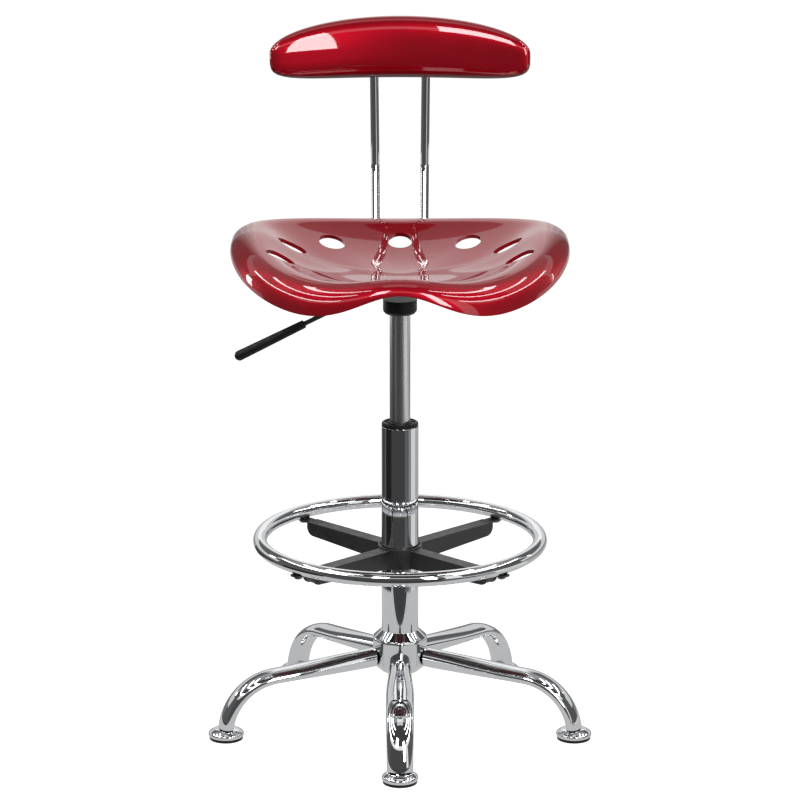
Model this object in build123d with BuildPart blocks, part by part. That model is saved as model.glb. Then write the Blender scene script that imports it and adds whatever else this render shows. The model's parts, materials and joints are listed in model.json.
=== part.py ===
from build123d import *
import math
import os

os.makedirs("parts", exist_ok=True)

# Drafting stool on a five-legged base, millimetres.
# The column stands on the Z axis, the floor is Z = 0 and the sitter faces -Y.

# Gas lift
column_diameter = 50.0
column_wall = 1.5
column_bottom = 76.0
column_top = 416.0
column_edge = 0.5
lift_diameter = 28.0
lift_wall = 2.0
lift_bottom = 336.0
lift_top = 598.0
lift_edge = 0.8
lift_mouth_edge = 1.2
lift_taper_length = 26.0
lift_taper_inset = 0.65
bush_length = 86.0
bush_flange = 5.5
bush_edge = 1.8
bush_groove_outset = 2.2
bush_groove_inset = 4.0
bush_groove_depth = 2.5
running_gap = 0.05
floor_thickness = 4.0
race_diameter = 28.0
race_thickness = 2.0
race_bore_gap = 1.2
ball_diameter = 4.0
ball_count = 8
ball_gap = 0.02
rod_diameter = 10.0
rod_beyond_piston = 2.0
spigot_diameter = 8.0
spigot_edge = 0.6
spigot_tail = 6.0
clip_thickness = 1.6
clip_gap = 0.3
clip_groove = 0.8
clip_rim = 3.2
clip_mouth = 2.6
buffer_wall = 6.0
buffer_height = 12.0
buffer_edge = 2.0
gland_height = 15.0
piston_gap = 3.0
piston_height = 14.0
piston_edge = 1.0
valve_inset = 0.25
valve_recess = 4.0
valve_foot = 6.0
pin_diameter = 8.0
pin_seat = 8.0
pin_room = 7.0
pin_top = 603.2
pin_edge = 1.5

# Five-legged base
leg_count = 5
hub_corner_radius = 38.6
hub_sides = 2 * leg_count
hub_bottom = 73.0
hub_top = 131.0
hub_bevel = 11.0
leg_start_height = 94.0
leg_droop = 5.3
leg_bend_start = 178.0
leg_bend_radius = 76.0
leg_end_height = 16.0
leg_wall = 1.6
leg_hub_width = 29.0
leg_widest = 37.6
leg_end_width = 34.8
leg_hub_depth = 26.2
leg_end_depth = 20.0
leg_spread_end = 0.47
leg_flatten_end = 0.55
leg_narrow_start = 0.6
crease_depth = 3.6
crease_start = 0.35
crease_run = 0.35
crease_foot_fade = 0.8
crease_breadth = 0.26
leg_stations = 13
leg_points = 24
plug_radius = 5.6
plug_height = 11.0
plug_inset = 1.0

# Glides
glide_diameter = 48.0
glide_height = 15.0
glide_sheet = 1.2
glide_tuck = 1.2
glide_bulge_rise = 3.4
glide_shoulder_in = 2.6
glide_shoulder_rise = 7.0
glide_dome_in = 7.5
glide_dome_fall = 1.4
glide_flat = 6.0
glide_hollow_in = 8.0
glide_hollow_fall = 3.3
glide_hollow_rise = 5.0
glide_hollow_flat = 5.0
pad_height = 4.0
pad_inset = 1.4
pad_edge = 1.2
pad_boss_inset = 9.0
pad_boss_height = 5.0
pad_floor = 2.0
stem_diameter = 8.0

# Foot ring
ring_height = 258.0
ring_radius = 189.0
ring_tube = 19.0
ring_wall = 1.5
ring_bolt_head = 3.2
ring_bolt_bite = 5.7
arm_count = 4
arm_first_angle = 45.0
arm_width = 20.0
arm_sheet = 2.5
arm_root_depth = 25.0
arm_root_overlap = 3.0
arm_tip_depth = 18.0
arm_tip_gap = 17.1
arm_corner = 12.0
tab_reach = 8.55
tab_width = 16.0
tab_overlap = 4.0
tab_corner = 3.0
collar_diameter = 60.0
collar_wall = 2.4
collar_height = 28.5
collar_stand = 2.0
collar_edge = 0.8
liner_low_inset = 1.0
liner_top_inset = 1.6
liner_gap = 0.075
clamp_diameter = 8.0
clamp_tip_gap = 0.35
knob_diameter = 34.0
knob_gap = 11.0
knob_length = 17.0
knob_socket = 10.0
knob_grips = 6
knob_grip_radius = 5.0
knob_grip_outset = 2.0
knob_edge = 1.5

# Seat mounting
plate_bottom = 611.0
plate_thickness = 4.0
plate_width = 150.0
plate_front = 62.0
plate_rear = 84.0
plate_corner = 18.0
bolt_diameter = 6.0
hex_diameter = 11.4
dome_diameter = 10.2
dome_height = 2.6
hex_height = 4.0
nut_height = 5.0
bolt_x = 58.0
bolt_y = 45.0
bolt_depth = 7.5
bolt_end_gap = 1.0
post_bolt_near = 50.0
post_bolt_far = 70.0
cap_diameter = 45.5
cap_bottom = 570.0
cap_top = 589.7
cap_gap = 0.4
cap_low_edge = 5.0
cap_high_edge = 0.8
socket_diameter = 39.0
socket_waist_diameter = 60.0
socket_waist_height = 599.0
cup_diameter = 76.0
cup_wall = 4.0
cup_flare_height = 605.0
cup_floor_diameter = 54.0
cup_floor_height = 606.5
slot_width = 18.0
slot_bottom = 594.0
slot_reach = 21.0
ear_front = -26.0
ear_rear = -36.0
ear_low = 599.0
ear_gap = 0.5
ear_thickness = 3.0

# Release lever
lever_rod = 6.4
lever_slope = 26.6
lever_knee = 26.0
lever_knee_height = 606.4
lever_knee_bend = 12.0
lever_inner_reach = 8.0
lever_inner_rise = 0.5
lever_pivot_x = -31.0
lever_pivot_diameter = 3.2
lever_pivot_stand = 1.0
grip_start = 127.0
grip_end = 220.0
grip_inner_diameter = 11.2
grip_outer_diameter = 14.0
grip_edge = 1.0
grip_bore_gap = 0.01
grip_bore_rest = 1.0
grip_rod_inset = 22.0

# Seat shell, a dished skin with a rolled rim
seat_half_width = 228.0
seat_widest_y = 78.0
seat_front = -184.0
seat_rear = 182.0
seat_rear_squareness = 4.8
seat_front_squareness = 2.2
seat_roll = 36.0
seat_skin = 5.5
seat_low_y = -25.0
seat_low_height = 629.0
crest_rear = 668.3
crest_side = 666.6
crest_front = 642.7
lobe_dip = 9.6
nose_width = 86.0
nose_notch = 8.0
front_blend = 1.6
drop_rear = 20.0
drop_side = 22.5
drop_lobe = 47.4
drop_nose = 10.7
dish_flatness_side = 2.5
dish_flatness_front = 3.2
dish_rear_power = 2.0
dish_rear_ease = 0.08
dish_corner = 0.5
dish_part = 0.74
dish_pole = 0.07
seat_loop_count = 20
boss_diameter = 17.0
boss_front_height = 11.0
boss_rear_height = 17.0

# Air holes in the dish, each placed by a direction in degrees and a share of the way to the crest
hole_width = 33.0
hole_cut_depth = 20.0
rear_hole_turn = 90.0
rear_hole_share = 0.691
rear_hole_length = 38.7
corner_hole_turn = 29.9
corner_hole_share = 0.66
corner_hole_length = 44.6
corner_hole_width = 30.3
side_hole_turn = 4.6
side_hole_share = 0.755
side_hole_length = 45.4
side_hole_width = 29.3
front_hole_turn = -26.1
front_hole_share = 0.869
front_hole_length = 41.6

# Backrest and its two posts
post_diameter = 12.0
post_x_low = 33.2
post_x_knee = 34.2
post_x_top = 36.0
post_front_y = 40.0
post_heel_y = 198.0
post_knee_y = 240.0
post_knee_height = 722.0
post_top = 901.0
post_bend = 45.0
post_hole_room = 3.0
back_half_width = 183.0
back_rise = 46.5
back_fall = 38.2
back_rise_squareness = 2.0
back_fall_squareness = 5.2
back_centre_height = 886.4
back_y = 243.0
back_bend = 420.0
back_thickness = 36.0
back_wall = 3.0
back_pillow = 2.5
back_pole = 0.05
back_loop_count = 11
split_gap = 1.0
block_width = 32.0
block_fall = 14.0
block_rise = 16.0
block_inset = 1.65
screw_diameter = 4.0
screw_head_diameter = 8.0
screw_head = 3.0
screw_offset = 12.0
screw_reach = 11.0
screw_sink = 9.0
loop_points = 60

# Derived sizes
column_r = column_diameter / 2
column_inner_r = column_r - column_wall
lift_r = lift_diameter / 2
lift_inner_r = lift_r - lift_wall
lift_top_r = lift_r - lift_taper_inset
taper_start = lift_top - lift_taper_length
rod_r = rod_diameter / 2
spigot_r = spigot_diameter / 2
race_r = race_diameter / 2
ball_r = ball_diameter / 2
pin_r = pin_diameter / 2
pin_bottom = taper_start + pin_seat
floor_top = column_bottom + floor_thickness
lower_race_top = floor_top + race_thickness
upper_race_bottom = lower_race_top + ball_diameter + ball_gap
rod_shoulder = upper_race_bottom + race_thickness
clip_top = column_bottom - clip_gap
clip_bottom = clip_top - clip_thickness
clip_groove_r = spigot_r - clip_groove
gland_top = lift_bottom + gland_height
piston_bottom = gland_top + piston_gap
piston_top = piston_bottom + piston_height
hub_flat = hub_corner_radius * math.cos(math.pi / hub_sides)
glide_r = glide_diameter / 2
stem_r = stem_diameter / 2
plug_bottom = leg_end_height + plug_inset
ring_tube_r = ring_tube / 2
arm_top = ring_height - ring_tube_r
arm_end = ring_radius - arm_tip_gap
tab_end = ring_radius + tab_reach
collar_r = collar_diameter / 2
collar_top = arm_top + collar_stand
collar_bottom = collar_top - collar_height
clamp_height = (collar_top + collar_bottom) / 2
clamp_r = clamp_diameter / 2
knob_r = knob_diameter / 2
knob_start = collar_r + knob_gap
bolt_r = bolt_diameter / 2
hex_r = hex_diameter / 2
dome_r = dome_diameter / 2
plate_top = plate_bottom + plate_thickness
socket_r = socket_diameter / 2
cup_r = cup_diameter / 2
cap_r = cap_diameter / 2
ear_inner = lever_rod / 2 + ear_gap
pivot_r = lever_pivot_diameter / 2
pivot_height = lever_knee_height + (lever_pivot_x + lever_knee) * math.tan(math.radians(lever_slope))
grip_in_r = grip_inner_diameter / 2
grip_out_r = grip_outer_diameter / 2
grip_bore_r = lever_rod / 2 + grip_bore_gap
post_r = post_diameter / 2
post_height = plate_bottom - post_r
post_bottom = post_height - post_r
screw_r = screw_diameter / 2
screw_head_r = screw_head_diameter / 2


def save(builder, name):
    builder.part.label = name
    export_step(builder.part, f"parts/{name}.step")


def smooth(value):
    limited = min(max(value, 0.0), 1.0)
    return limited * limited * (3 - 2 * limited)


def turned(outline):
    # A solid of revolution about the column from (radius, height) corners.
    with BuildPart() as lathe:
        with BuildSketch(Plane.XZ):
            with BuildLine():
                Polyline(*outline, close=True)
            make_face()
        revolve(axis=Axis.Z)
    return lathe.part


def tube(outer_radius, inner_radius, bottom, top):
    with BuildPart() as ring:
        with BuildSketch(Plane.XY.offset(bottom)):
            Circle(outer_radius)
            if inner_radius > 0:
                Circle(inner_radius, mode=Mode.SUBTRACT)
        extrude(amount=top - bottom)
    return ring.part


def loop_wire(points):
    count = len(points)
    steps = [index / count for index in range(count + 1)]
    return Wire([Edge.make_spline([Vector(*point) for point in points], periodic=True, parameters=steps)])


def skin_solid(outer_loops, inner_loops):
    # Two lofted skins joined by a flat-edged rim and closed by small flats at their poles.
    outer = Shell.make_loft([loop_wire(points) for points in outer_loops])
    inner = Shell.make_loft([loop_wire(points) for points in inner_loops])
    outer_ends = sorted(outer.edges().filter_by(lambda edge: edge.is_closed), key=lambda edge: edge.length)
    inner_ends = sorted(inner.edges().filter_by(lambda edge: edge.is_closed), key=lambda edge: edge.length)
    rim = Face.make_surface_from_curves(outer_ends[-1], inner_ends[-1])
    poles = [Face(Wire([outer_ends[0]])), Face(Wire([inner_ends[0]]))]
    return Solid(Shell(outer.faces() + inner.faces() + [rim] + poles))


# Base hub with a bevelled ten-sided outline
with BuildPart() as base_hub:
    with BuildSketch(Plane.XY.offset(hub_bottom)):
        RegularPolygon(hub_corner_radius, hub_sides)
    extrude(amount=hub_top - hub_bottom)
    chamfer(base_hub.faces().sort_by(Axis.Z)[-1].edges(), hub_bevel)
    chamfer(base_hub.faces().sort_by(Axis.Z)[0].edges(), hub_bevel)
    Cylinder(column_r, 2 * hub_top, mode=Mode.SUBTRACT)
save(base_hub, "base_hub")

# Legs, round tube at the hub pressed wider and creased underneath towards the foot
droop = math.radians(leg_droop)
leg_run = (leg_bend_start - hub_flat) / math.cos(droop)
bend_start_height = leg_start_height - (leg_bend_start - hub_flat) * math.tan(droop)
bend_centre_r = leg_bend_start - leg_bend_radius * math.sin(droop)
bend_centre_z = bend_start_height - leg_bend_radius * math.cos(droop)
bend_end = math.acos((leg_end_height - bend_centre_z) / leg_bend_radius)
leg_length = leg_run + leg_bend_radius * (bend_end - droop)
foot_radius = bend_centre_r + leg_bend_radius * math.sin(bend_end)


def leg_loop(part_way, inset):
    # One closed section of the front leg at a fraction of its length.
    along = part_way * leg_length
    if along < leg_run:
        tilt = droop
        radius = hub_flat + along * math.cos(droop)
        height = leg_start_height - along * math.sin(droop)
    else:
        tilt = droop + (along - leg_run) / leg_bend_radius
        radius = bend_centre_r + leg_bend_radius * math.sin(tilt)
        height = bend_centre_z + leg_bend_radius * math.cos(tilt)
    if part_way == 0:
        tilt = 0.0
    if part_way == 1:
        tilt = math.pi / 2
    spread = smooth(part_way / leg_spread_end)
    narrow = smooth((part_way - leg_narrow_start) / (1 - leg_narrow_start))
    width = leg_hub_width + (leg_widest - leg_hub_width) * spread - (leg_widest - leg_end_width) * narrow
    depth = leg_hub_depth + (leg_end_depth - leg_hub_depth) * smooth(part_way / leg_flatten_end)
    crease = crease_depth * smooth((part_way - crease_start) / crease_run) * (1 - crease_foot_fade * narrow)
    points = []
    for index in range(leg_points):
        turn = 2 * math.pi * (index + 0.5) / leg_points
        across = (width / 2 - inset) * math.cos(turn)
        out = (depth / 2 - inset) * math.sin(turn)
        if out < 0:
            fade = min(1.0, -2 * math.sin(turn))
            out += crease * math.exp(-((across / (crease_breadth * width)) ** 2)) * fade
        points.append((across, -(radius + out * math.sin(tilt)), height + out * math.cos(tilt)))
    return points


leg_fractions = [index / (leg_stations - 1) for index in range(leg_stations)]
leg_outside = Solid.make_loft([loop_wire(leg_loop(fraction, 0.0)) for fraction in leg_fractions])
leg_inside = Solid.make_loft([loop_wire(leg_loop(fraction, leg_wall)) for fraction in leg_fractions])
with BuildPart() as front_leg:
    add(leg_outside)
    add(leg_inside, mode=Mode.SUBTRACT)
for number in range(1, leg_count + 1):
    with BuildPart() as leg:
        add(front_leg.part.rotate(Axis.Z, 360 / leg_count * (number - 1)))
    save(leg, f"leg_{number}")

# Threaded plugs in the leg ends
foot_places = PolarLocations(foot_radius, leg_count, start_angle=-90)
with BuildPart() as leg_plugs:
    with BuildSketch(Plane.XY.offset(plug_bottom)):
        with foot_places:
            Circle(plug_radius)
            Circle(stem_r + running_gap, mode=Mode.SUBTRACT)
    extrude(amount=plug_height)
save(leg_plugs, "leg_plugs")

# Glides, each a domed cap over a plastic pad on a threaded stem
with BuildPart() as glide_cap_shape:
    with BuildSketch(Plane.XZ):
        with BuildLine():
            bulge = ThreePointArc(
                (glide_r - glide_tuck, pad_height),
                (glide_r, pad_height + glide_bulge_rise),
                (glide_r - glide_shoulder_in, pad_height + glide_shoulder_rise),
            )
            dome = Spline(
                bulge @ 1,
                (glide_r - glide_dome_in, glide_height - glide_dome_fall),
                (stem_r + glide_flat, glide_height),
                tangents=[bulge % 1, (-1, 0)],
            )
            top_flat = Line(dome @ 1, (stem_r, glide_height))
            bore = Line(top_flat @ 1, (stem_r, glide_height - glide_sheet))
            under_flat = Line(bore @ 1, (stem_r + glide_hollow_flat, glide_height - glide_sheet))
            under_dome = Line(under_flat @ 1, (glide_r - glide_hollow_in, glide_height - glide_hollow_fall))
            shoulder_r = glide_r - glide_shoulder_in - glide_sheet
            under_side = Line(under_dome @ 1, (shoulder_r, pad_height + glide_hollow_rise))
            under_wall = Line(under_side @ 1, (glide_r - glide_tuck - glide_sheet, pad_height))
            Line(under_wall @ 1, bulge @ 0)
        make_face()
    revolve(axis=Axis.Z)
with BuildPart() as glide_pad_shape:
    with BuildSketch():
        Circle(glide_r - pad_inset)
    extrude(amount=pad_height)
    fillet(glide_pad_shape.edges().group_by(Axis.Z)[0], pad_edge)
    with BuildSketch(Plane.XY.offset(pad_height)):
        Circle(glide_r - pad_boss_inset)
    extrude(amount=pad_boss_height)
    with BuildSketch(Plane.XY.offset(pad_floor)):
        Circle(stem_r)
    extrude(amount=glide_height, mode=Mode.SUBTRACT)
glide_stem_shape = tube(stem_r, 0, pad_floor, plug_bottom + plug_height - plug_inset)
foot_spots = [location.position for location in foot_places.local_locations]
for number, spot in enumerate(foot_spots, 1):
    with BuildPart(Location(spot)) as glide_cap:
        add(glide_cap_shape.part)
    save(glide_cap, f"glide_cap_{number}")
    with BuildPart(Location(spot)) as glide_pad:
        add(glide_pad_shape.part)
    save(glide_pad, f"glide_pad_{number}")
    with BuildPart(Location(spot)) as glide_stem:
        add(glide_stem_shape)
    save(glide_stem, f"glide_stem_{number}")

# Column tube with its floor and the guide bush at the top
with BuildPart() as column_tube:
    add(tube(column_r, column_inner_r, column_bottom, column_top))
    fillet(column_tube.edges().group_by(Axis.Z)[-1], column_edge)
save(column_tube, "column_tube")

with BuildPart() as column_floor:
    add(tube(column_inner_r, spigot_r + running_gap, column_bottom, floor_top))
save(column_floor, "column_floor")

with BuildPart() as column_bush:
    add(tube(column_inner_r, lift_r + running_gap, column_top - bush_length, column_top))
    add(tube(column_r, lift_r + running_gap, column_top, column_top + bush_flange))
    fillet(column_bush.edges().group_by(Axis.Z)[-1].sort_by(SortBy.RADIUS)[-1], bush_edge)
    with BuildSketch(Plane.XY.offset(column_top + bush_flange)):
        Circle(column_r - bush_groove_inset)
        Circle(lift_r + bush_groove_outset, mode=Mode.SUBTRACT)
    extrude(amount=-bush_groove_depth, mode=Mode.SUBTRACT)
save(column_bush, "column_bush")

# Thrust bearing under the piston rod
race_bore_r = spigot_r + race_bore_gap
with BuildPart() as lower_race:
    add(tube(race_r, race_bore_r, floor_top, lower_race_top))
save(lower_race, "lower_race")

with BuildPart() as bearing_balls:
    with Locations((0, 0, lower_race_top + ball_r)):
        with PolarLocations((race_r + race_bore_r) / 2, ball_count):
            Sphere(ball_r)
save(bearing_balls, "bearing_balls")

with BuildPart() as upper_race:
    add(tube(race_r, spigot_r, upper_race_bottom, rod_shoulder))
save(upper_race, "upper_race")

# Piston rod with its clip, buffer and piston
rod_tip = clip_top - spigot_tail
rod_end_height = piston_top + rod_beyond_piston
with BuildPart() as piston_rod:
    add(
        turned(
            [
                (0, rod_tip),
                (spigot_r - spigot_edge, rod_tip),
                (spigot_r, rod_tip + spigot_edge),
                (spigot_r, clip_bottom),
                (clip_groove_r, clip_bottom),
                (clip_groove_r, clip_top),
                (spigot_r, clip_top),
                (spigot_r, rod_shoulder),
                (rod_r, rod_shoulder),
                (rod_r, rod_end_height),
                (0, rod_end_height),
            ]
        )
    )
save(piston_rod, "piston_rod")

with BuildPart() as rod_clip:
    with BuildSketch(Plane.XY.offset(clip_bottom)):
        Circle(spigot_r + clip_rim)
        Circle(clip_groove_r, mode=Mode.SUBTRACT)
        with Locations((0, spigot_r + clip_rim / 2)):
            Rectangle(clip_mouth, 2 * spigot_r, mode=Mode.SUBTRACT)
    extrude(amount=clip_thickness)
save(rod_clip, "rod_clip")

with BuildPart() as rod_buffer:
    add(tube(rod_r + buffer_wall, rod_r, rod_shoulder, rod_shoulder + buffer_height))
    fillet(rod_buffer.edges().group_by(Axis.Z)[-1].sort_by(SortBy.RADIUS)[-1], buffer_edge)
save(rod_buffer, "rod_buffer")

with BuildPart() as piston:
    add(tube(lift_inner_r - running_gap, rod_r, piston_bottom, piston_top))
    fillet(piston.edges().filter_by(GeomType.CIRCLE).sort_by(SortBy.RADIUS)[-2:], piston_edge)
save(piston, "piston")

# Gas cylinder with its gland, valve and release pin
valve_r = lift_inner_r - valve_inset
valve_bottom = taper_start - valve_foot
valve_top = lift_top - valve_recess
with BuildPart() as gas_cylinder:
    add(
        turned(
            [
                (lift_inner_r, lift_bottom),
                (lift_r - lift_edge, lift_bottom),
                (lift_r, lift_bottom + lift_edge),
                (lift_r, taper_start),
                (lift_top_r, lift_top),
                (lift_top_r - lift_mouth_edge, lift_top),
                (valve_r, valve_top),
                (valve_r, valve_bottom),
                (lift_inner_r, valve_bottom),
            ]
        )
    )
save(gas_cylinder, "gas_cylinder")

with BuildPart() as rod_gland:
    add(tube(lift_inner_r, rod_r + running_gap, lift_bottom, gland_top))
save(rod_gland, "rod_gland")

with BuildPart() as valve_body:
    add(tube(valve_r, 0, valve_bottom, valve_top))
    add(tube(pin_r + running_gap, 0, pin_bottom - pin_room, lift_top), mode=Mode.SUBTRACT)
save(valve_body, "valve_body")

with BuildPart() as release_pin:
    add(tube(pin_r, 0, pin_bottom, pin_top))
    fillet(release_pin.edges().group_by(Axis.Z)[-1], pin_edge)
save(release_pin, "release_pin")

# Seat socket, a flared steel cup that takes the tapered cylinder
with BuildPart() as seat_socket:
    add(
        turned(
            [
                (lift_r, taper_start),
                (socket_r, taper_start),
                (socket_r, cap_top),
                (cap_r, cap_top),
                (socket_waist_diameter / 2, socket_waist_height),
                (cup_r, cup_flare_height),
                (cup_r, plate_bottom),
                (cup_r - cup_wall, plate_bottom),
                (cup_r - cup_wall, cup_floor_height),
                (cup_floor_diameter / 2, lift_top),
                (lift_top_r, lift_top),
            ]
        )
    )
    with BuildSketch(Plane.XY.offset(slot_bottom)):
        with Locations((-cup_r, 0)):
            Rectangle(2 * (cup_r - slot_reach), slot_width)
    extrude(amount=plate_bottom - slot_bottom, mode=Mode.SUBTRACT)
save(seat_socket, "seat_socket")

with BuildPart() as socket_cap:
    add(tube(cap_r, lift_r + cap_gap, cap_bottom, cap_top))
    add(tube(socket_r, 0, taper_start, cap_top), mode=Mode.SUBTRACT)
    fillet(socket_cap.edges().group_by(Axis.Z)[0].sort_by(SortBy.RADIUS)[-1], cap_low_edge)
    fillet(socket_cap.edges().group_by(Axis.Z)[-1].sort_by(SortBy.RADIUS)[-1], cap_high_edge)
save(socket_cap, "socket_cap")

# Seat plate with the two ears that carry the lever
bolt_places = GridLocations(2 * bolt_x, 2 * bolt_y, 2, 2)
post_bolt_spots = [(side * post_x_low, along) for side in (-1, 1) for along in (post_bolt_near, post_bolt_far)]
with BuildPart() as seat_plate:
    with BuildSketch(Plane.XY.offset(plate_bottom)):
        with Locations((0, (plate_rear - plate_front) / 2)):
            RectangleRounded(plate_width, plate_front + plate_rear, plate_corner)
        with bolt_places:
            Circle(bolt_r, mode=Mode.SUBTRACT)
        with Locations(*post_bolt_spots):
            Circle(bolt_r, mode=Mode.SUBTRACT)
    extrude(amount=plate_thickness)
    with BuildSketch(Plane.XY.offset(plate_bottom)):
        for side in (-1, 1):
            with Locations(((ear_front + ear_rear) / 2, side * (ear_inner + ear_thickness / 2))):
                Rectangle(ear_front - ear_rear, ear_thickness)
    extrude(amount=ear_low - plate_bottom)
    with BuildSketch(Plane.XZ):
        with Locations((lever_pivot_x, pivot_height)):
            Circle(pivot_r)
    extrude(amount=slot_width, both=True, mode=Mode.SUBTRACT)
save(seat_plate, "seat_plate")

with BuildPart() as lever_pivot:
    with BuildSketch(Plane.XZ):
        with Locations((lever_pivot_x, pivot_height)):
            Circle(pivot_r)
    extrude(amount=ear_inner + ear_thickness + lever_pivot_stand, both=True)
save(lever_pivot, "lever_pivot")

# Release lever with a plastic grip
lever_down = Vector(-math.cos(math.radians(lever_slope)), 0, -math.sin(math.radians(lever_slope)))
lever_knee_spot = Vector(-lever_knee, 0, lever_knee_height)
lever_inner_height = lever_knee_height + lever_inner_rise


def lever_spot(reach):
    # The point of the sloping lever at a distance from the column.
    return lever_knee_spot + lever_down * ((reach - lever_knee) / abs(lever_down.X))


rod_end = lever_spot(grip_end - grip_rod_inset)
with BuildPart() as lever_arm:
    with BuildLine():
        FilletPolyline(
            (lever_inner_reach, 0, lever_inner_height),
            lever_knee_spot,
            rod_end,
            radius=lever_knee_bend,
        )
    with BuildSketch(Plane.YZ.offset(lever_inner_reach)):
        with Locations((0, lever_inner_height)):
            Circle(lever_rod / 2)
    sweep()
    with BuildSketch(Plane.XZ):
        with Locations((lever_pivot_x, pivot_height)):
            Circle(pivot_r + running_gap)
    extrude(amount=lever_rod, both=True, mode=Mode.SUBTRACT)
save(lever_arm, "lever_arm")

grip_root = lever_spot(grip_start)
grip_length = (lever_spot(grip_end) - grip_root).length
sideways = Vector(0, 1, 0)
grip_side = Plane(origin=grip_root, x_dir=sideways, z_dir=sideways.cross(lever_down))
grip_bore = (rod_end - grip_root).length + grip_bore_rest
with BuildPart() as lever_grip:
    with BuildSketch(grip_side):
        with BuildLine():
            root = Line((grip_bore_r, 0), (grip_in_r - grip_edge, 0))
            lip = RadiusArc(root @ 1, (grip_in_r, grip_edge), -grip_edge)
            flank = Line(lip @ 1, (grip_out_r, grip_length - grip_out_r))
            nose = CenterArc((0, grip_length - grip_out_r), grip_out_r, 0, 90)
            core = Line(nose @ 1, (0, grip_bore))
            bore_end = Line(core @ 1, (grip_bore_r, grip_bore))
            Line(bore_end @ 1, root @ 0)
        make_face()
    revolve(axis=Axis(grip_root, lever_down))
save(lever_grip, "lever_grip")


# Seat shell
def seat_rim(turn):
    # Rim reach, crest height and lip drop in one direction from the seat's widest line.
    along_x, along_y = math.cos(turn), math.sin(turn)
    reach_y = seat_rear - seat_widest_y if along_y > 0 else seat_widest_y - seat_front
    square = seat_rear_squareness if along_y > 0 else seat_front_squareness
    reach = (abs(along_x / seat_half_width) ** square + abs(along_y / reach_y) ** square) ** (-1 / square)
    front = max(-along_y, 0.0) ** front_blend
    rear = max(along_y, 0.0) ** 2
    nose_share = math.exp(-((reach * along_x / nose_width) ** 2))
    lobe_share = 1 - nose_share
    crest = crest_side + (crest_rear - crest_side) * rear + (crest_front - crest_side) * front
    crest -= lobe_dip * front * lobe_share
    drop = drop_side + (drop_rear - drop_side) * rear
    drop += front * ((drop_lobe - drop_side) * lobe_share + (drop_nose - drop_side) * nose_share)
    return reach - nose_notch * front * nose_share, crest, drop


def bowl_lift(share):
    # Share of the height of the rear wall, a bowl that levels out at the crest.
    start = 1 - dish_rear_ease
    climb = dish_rear_power * start ** (dish_rear_power - 1) * dish_rear_ease
    full = start**dish_rear_power + climb / 2
    if share <= start:
        return share**dish_rear_power / full
    gone = (share - start) / dish_rear_ease
    return (start**dish_rear_power + climb * (gone - gone * gone / 2)) / full


def seat_dish(turn, share, sink):
    # A point of the dish at a share of the way from its lowest point to the crest.
    reach, crest, drop = seat_rim(turn)
    crest_x = (reach - seat_roll) * math.cos(turn)
    crest_y = seat_widest_y + (reach - seat_roll) * math.sin(turn)
    along_y = math.sin(turn)
    turned = smooth(abs(along_y) / dish_corner)
    flatness = dish_flatness_side
    if along_y < 0:
        flatness += (dish_flatness_front - dish_flatness_side) * turned
    lift = (1 - math.cos(math.pi * share**flatness)) / 2
    if along_y > 0:
        lift += (bowl_lift(share) - lift) * turned
    return (
        crest_x * share,
        seat_low_y + (crest_y - seat_low_y) * share,
        seat_low_height + (crest - seat_low_height) * lift - sink,
    )


def seat_lip(turn, bend, sink):
    # A point of the rolled rim, from the crest down over the edge.
    reach, crest, drop = seat_rim(turn)
    out = reach - seat_roll + (seat_roll - sink) * math.sin(bend)
    return (
        out * math.cos(turn),
        seat_widest_y + out * math.sin(turn),
        crest - sink - (drop - sink) * (1 - math.cos(bend)),
    )


def seat_loops(sink):
    turns = [2 * math.pi * (index + 0.5) / loop_points for index in range(loop_points)]
    loops = []
    for index in range(seat_loop_count):
        place = dish_pole + (1 - dish_pole) * index / (seat_loop_count - 1)
        if place <= dish_part:
            loops.append([seat_dish(turn, place / dish_part, sink) for turn in turns])
        else:
            bend = (place - dish_part) / (1 - dish_part) * math.pi / 2
            loops.append([seat_lip(turn, bend, sink) for turn in turns])
    flat = sum(point[2] for point in loops[0]) / loop_points
    loops[0] = [(point[0], point[1], flat) for point in loops[0]]
    return loops


def hole_plane(direction, share):
    turn = math.radians(direction)
    step = 0.02
    middle = Vector(*seat_dish(turn, share, 0.0))
    outward = Vector(*seat_dish(turn, share + step, 0.0)) - middle
    sideways = Vector(*seat_dish(turn + step, share, 0.0)) - middle
    return Plane(origin=middle, x_dir=outward, z_dir=outward.cross(sideways))


right_holes = [
    (corner_hole_turn, corner_hole_share, corner_hole_length, corner_hole_width),
    (side_hole_turn, side_hole_share, side_hole_length, side_hole_width),
    (front_hole_turn, front_hole_share, front_hole_length, hole_width),
]
left_holes = [(180 - direction, share, length, width) for direction, share, length, width in right_holes]
seat_holes = [(rear_hole_turn, rear_hole_share, rear_hole_length, hole_width)] + right_holes + left_holes
seat_skin_solid = skin_solid(seat_loops(0.0), seat_loops(seat_skin))
with BuildPart() as seat_shell:
    add(seat_skin_solid)
    for side, boss_height in ((-1, boss_front_height), (1, boss_rear_height)):
        with BuildSketch(Plane.XY.offset(plate_top)):
            with Locations((-bolt_x, side * bolt_y), (bolt_x, side * bolt_y)):
                Circle(boss_diameter / 2)
        extrude(amount=boss_height)
    for direction, share, length, width in seat_holes:
        with BuildSketch(hole_plane(direction, share)):
            Ellipse(length / 2, width / 2)
        extrude(amount=hole_cut_depth, both=True, mode=Mode.SUBTRACT)
    with BuildSketch(Plane.XY.offset(plate_top)):
        with bolt_places:
            Circle(bolt_r)
    extrude(amount=bolt_depth, mode=Mode.SUBTRACT)
save(seat_shell, "seat_shell")

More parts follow.
